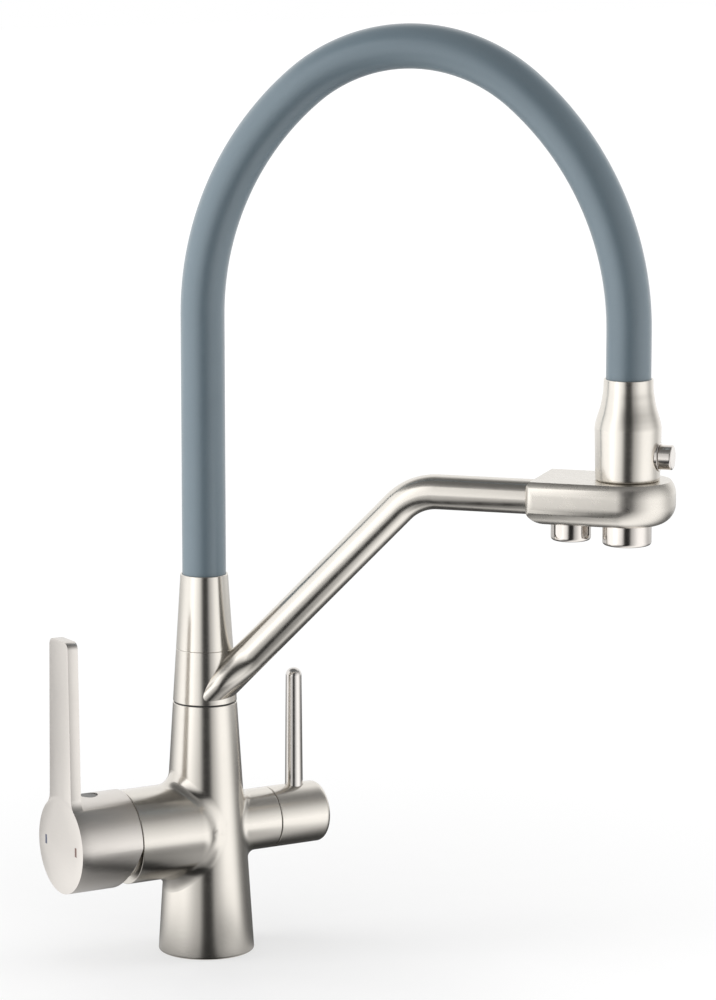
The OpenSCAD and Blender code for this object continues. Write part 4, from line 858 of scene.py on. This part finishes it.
side_r = (REACH / 2 - CROWN_R * sine(CROWN_HALF)) / (1 - sine(CROWN_HALF))
side_z = BELL_TOP + BELL_RUN_L
foot_z = CONE_TOP_Z - HOSE_SOCKET + TAIL_FLANGE_T
head_z = BELL_TOP - HOSE_SOCKET + TAIL_FLANGE_T
shoulder = ("bend", side_r, 90 - CROWN_HALF)
hose = tube(HOSE_R - FIT_GAP, [("run", side_z - foot_z), shoulder,
                               ("bend", CROWN_R, 2 * CROWN_HALF), shoulder,
                               ("run", side_z - head_z)], ARM @ shift(0, 0, foot_z))
piece("silicone_hose_tube", hose, "spout", silicone, "silicone_hose")

# ---- Finishes of the model's own pieces ----

BY_SLOT = {
    "brushed_nickel": column_nickel, "lever_nickel": lever_nickel, "rod_nickel": rod_nickel,
    "silicone": silicone, "pex": clear_tube, "brass": machined_brass, "seal": black_rubber,
    "slip_plastic": black_plastic, "cartridge_plastic": ivory_plastic,
    "ceramic": white_ceramic, "steel": plain_steel, "dark_steel": black_steel,
    "cap_plastic": grey_plastic, "aerator_plastic": pale_plastic,
    "hot_mark": warm_enamel, "cold_mark": cool_enamel,
}
for part in frame["record"]["subparts"]:
    mesh = frame["nodes"][part["node"]].data
    mesh.materials.clear()
    mesh.materials.append(BY_SLOT[part["material_slot"]])

# ---- Camera, as fitted to the photograph's 716 x 1000 frame ----

CAMERA_BEARING, CAMERA_PITCH, FOCAL_PX, CAMERA_FAR = 30.49, 9.64, 4185, 2.279
FRAME_W, FRAME_H, SENSOR = 716, 1000, 36
ORIGIN_PX = (206.5, 947.4)

ahead = Vector((sine(CAMERA_BEARING) * cosine(CAMERA_PITCH),
                cosine(CAMERA_BEARING) * cosine(CAMERA_PITCH), -sine(CAMERA_PITCH)))
right = Vector((cosine(CAMERA_BEARING), -sine(CAMERA_BEARING), 0))
above = right.cross(ahead)
across = (ORIGIN_PX[0] - FRAME_W / 2) / FOCAL_PX
down = (ORIGIN_PX[1] - FRAME_H / 2) / FOCAL_PX
eye = -CAMERA_FAR * (ahead + right * across - above * down)
camera_data = bpy.data.cameras.new("camera")
camera_data.sensor_width, camera_data.lens = SENSOR, FOCAL_PX * SENSOR / FRAME_H
camera_data.clip_start, camera_data.clip_end = 0.01, 100
camera = bpy.data.objects.new("camera", camera_data)
facing = Matrix((right, above, -ahead)).transposed().to_4x4()
camera.matrix_world = Matrix.Translation(eye) @ facing
bpy.context.scene.collection.objects.link(camera)
bpy.context.scene.camera = camera

# ---- Studio, in metres ----

FLOOR_W, LAMP_AIM_Z = 16, 0.25
BLACK, WHITE, UP = (0, 0, 0), (1, 1, 1), (0, 0, 1)


def compass_way(compass, elevation=0):
    """A direction. +Y is at compass 0 and +X at 90."""
    return Vector((sine(compass) * cosine(elevation), cosine(compass) * cosine(elevation),
                   sine(elevation)))


def background_seen(finish):
    """1 for what the camera sees, directly, mirrored or through glass."""
    rays = [finish.node("ShaderNodeLightPath", {}, output=name)
            for name in ("Is Camera Ray", "Is Glossy Ray", "Is Transmission Ray")]
    return finish.node("ShaderNodeClamp", {}, rays[0] + rays[1] + rays[2])


def along(finish, way):
    """Distance of a point from the origin along a direction."""
    return finish.node("ShaderNodeVectorMath", {"operation": "DOT_PRODUCT"}, finish.place(),
                       way, output="Value")


def distance(finish, scale=(1, 1, 0)):
    """Distance of a point from the tap's axis, on stretched coordinates."""
    return finish.node("ShaderNodeVectorMath", {"operation": "LENGTH"}, finish.place(scale),
                       output="Value")


def staged(name, bm, finish):
    """A part of the studio, which isn't part of the tap."""
    obj = as_object(name, bm)
    obj.data.materials.append(finish.owner)
    return obj


# The floor keeps the shadow near the tap and is white further off
deck = material("pale floor", Roughness=0.9, Emission_Strength=1.0)
glow = background_seen(deck) * deck.spread(distance(deck), low=0.5, high=1.0, start=0.06, end=0.45)
paint = deck.blend(deck.noise(deck.place(), scale=40, detail=2.0), (0.80,) * 3, (0.83,) * 3)
deck.feed(Base_Color=deck.blend(glow, paint, BLACK), Emission_Color=deck.blend(glow, BLACK, WHITE))
floor = bmesh.new()
bmesh.ops.create_grid(floor, x_segments=1, y_segments=1, size=FLOOR_W / 2)
staged("floor", floor, deck)

# A glowing tent that only shows in reflections: its glow is painted light and painted shade, which
# the metal mirrors as highlights and dark bands. It stands still round the tap. Bearings in it are
# in degrees from the side that the camera looks from, and grow to the right.
TENT_R, TENT_H, TENT_FLOOR_Z, TENT_SIDES = 1.6, 1.6, 0.0005, 96
TENT_GLOW, ROOF_GLOW, TENT_STRENGTH = 0.52, 0.13, 2
# Patches: bearing of the middle, half width at full depth, half width in all, depth
# The soft boxes and the front left patch are painted highlights; the front flag and the right shade
# are painted shade
RIGHT_BOX, LEFT_BOX, FRONT_LEFT = (66, 6, 45, 0.75), (-74, 12, 58, 0.75), (-38, 14, 32, 0.55)
FRONT_FLAG, RIGHT_SHADE = (6, 8, 21, 0.97), (50, 60, 90, 0.8)
# Soft steps: where they start and end, and their levels there
# The wall's and the roof's steps paint brighter reflections; the floor's steps and the arm's shade
# paint shade
WALL_BEHIND, ROOF_RIM, ROOF_BEHIND = (95, 130, 0, 0.55), (0.6, TENT_R, 0, 0.2), (0.3, 1.4, 0, 0.8)
FLOOR_RIGHT_SHADE, FLOOR_LEFT_SHADE, ARM_SHADE = (85, 125, 0, 0.92), (-112, -150, 0, 0.8), (0.02, 0.11, 0.65, 0)
FLOOR_INNER, FLOOR_OUTER = (0.6, 1.0, 1, 0), (0.8, 1.3, 0, 1)
# Straight slopes: levels, and where they start and end
# The floor's near slope paints shade into the tent's floor close to the tap
WALL_HEIGHT, FLOOR_NEAR_SHADE, NEAR_OVAL = (0, 1, 0.1, TENT_H), (0.12, 1, 0, 0.135), (0.6, 1, 0)
# Direction of the roof's painted bright side, and a spot of painted shade on the tent's floor that
# the arm's underside mirrors
ROOF_WAY, ARM_SPOT = compass_way(45), compass_way(167) * 0.135


def bearing(finish):
    """Degrees from the photograph's side, round the tap's axis."""
    return finish.node("ShaderNodeMath", {"operation": "ARCTAN2"},
                       along(finish, compass_way(CAMERA_BEARING + 90)),
                       along(finish, compass_way(CAMERA_BEARING + 180))) * (180 / math.pi)


def patch(finish, where, middle, inner, outer, depth):
    """A soft-edged patch round a bearing."""
    return finish.fade(abs(where - middle), inner, outer, depth, 0)


def tent_round(finish, where):
    """Painted brightness by bearing: a soft box painted to each side as a highlight, and a dark
    flag painted in front as shade.
    """
    boxes = TENT_GLOW + patch(finish, where, *RIGHT_BOX) + patch(finish, where, *LEFT_BOX)
    return boxes * (1 - patch(finish, where, *FRONT_FLAG))


def tent_wall(finish):
    """Painted light: it is brighter behind and at the front left, and painted shade darkens it
    upwards on the right.
    """
    where = bearing(finish)
    height = finish.spread(along(finish, UP), *WALL_HEIGHT)
    lit = (tent_round(finish, where) + finish.fade(abs(where), *WALL_BEHIND)
           + patch(finish, where, *FRONT_LEFT))
    return lit * (1 - height * patch(finish, where, *RIGHT_SHADE))


def tent_roof(finish):
    """Painted light: it is brighter towards its rim and behind the tap."""
    behind = finish.fade(along(finish, ROOF_WAY), *ROOF_BEHIND)
    return ROOF_GLOW + finish.fade(distance(finish), *ROOF_RIM) + behind


def tent_floor(finish):
    """Painted shade darkens it close to the tap, behind the tap to both sides and at the arm's
    spot, and painted light makes it brighter at the front left further out."""
    where, far = bearing(finish), distance(finish)
    # Painted shade close to the tap, which the tap's low parts mirror
    near = finish.spread(distance(finish, NEAR_OVAL), *FLOOR_NEAR_SHADE)
    # Painted shade behind the tap to both sides
    behind = finish.fade(where, *FLOOR_RIGHT_SHADE) + finish.fade(where, *FLOOR_LEFT_SHADE)
    # A spot of painted shade, which the arm's underside mirrors
    from_spot = finish.node("ShaderNodeVectorMath", {"operation": "DISTANCE"}, finish.place(),
                            ARM_SPOT, output="Value")
    # A painted highlight at the front left further out
    front_left = patch(finish, where, *FRONT_LEFT) * finish.fade(far, *FLOOR_OUTER)
    return ((tent_round(finish, where) + front_left) * near
            * (1 - behind * finish.fade(far, *FLOOR_INNER))
            * (1 - finish.fade(from_spot, *ARM_SHADE)))


def tent(name, brightness, bm):
    """A part of the tent, which nothing but reflections shows; its glow is painted light and shade.
    """
    finish = material(name.replace("_", " "), Emission_Strength=TENT_STRENGTH,
                      Base_Color=(*BLACK, 1))
    share = brightness(finish) * (1 / TENT_STRENGTH)
    finish.feed(Emission_Color=finish.blend(share, BLACK, WHITE))
    obj = staged(name, bm, finish)
    obj.visible_camera = obj.visible_diffuse = obj.visible_shadow = False
    obj.visible_transmission = False


wall = bmesh.new()
bmesh.ops.create_cone(wall, cap_ends=False, segments=TENT_SIDES, radius1=TENT_R, radius2=TENT_R,
                      depth=TENT_H, matrix=shift(0, 0, TENT_H / 2))
tent("tent_wall", tent_wall, wall)
for name, brightness, level in (("tent_roof", tent_roof, TENT_H),
                                ("tent_floor", tent_floor, TENT_FLOOR_Z)):
    disc = bmesh.new()
    bmesh.ops.create_circle(disc, cap_ends=True, segments=TENT_SIDES, radius=TENT_R,
                            matrix=shift(0, 0, level))
    tent(name, brightness, disc)

studio = Finish(bpy.data.worlds.new("studio"), "Background")
bpy.context.scene.world = studio.owner
studio.feed(Color=studio.blend(background_seen(studio), (0.62,) * 3, WHITE))


def lamp(name, compass, elevation, far, size, power):
    """A soft box that lights matt pieces and the floor, and doesn't show in reflections."""
    data = bpy.data.lights.new(name, "AREA")
    data.shape, data.size, data.energy = "SQUARE", size, power
    out = compass_way(compass, elevation)
    obj = bpy.data.objects.new(name, data)
    spin = out.to_track_quat("Z", "Y").to_matrix().to_4x4()
    obj.matrix_world = Matrix.Translation(out * far + Vector((0, 0, LAMP_AIM_Z))) @ spin
    obj.visible_glossy = False
    bpy.context.scene.collection.objects.link(obj)


lamp("left_softbox", compass=295, elevation=10, far=1.8, size=1.0, power=26)
lamp("right_softbox", compass=105, elevation=10, far=1.8, size=1.0, power=14)
lamp("top_softbox", compass=200, elevation=75, far=2.0, size=1.2, power=3)

bpy.context.scene.view_settings.view_transform = "Standard"
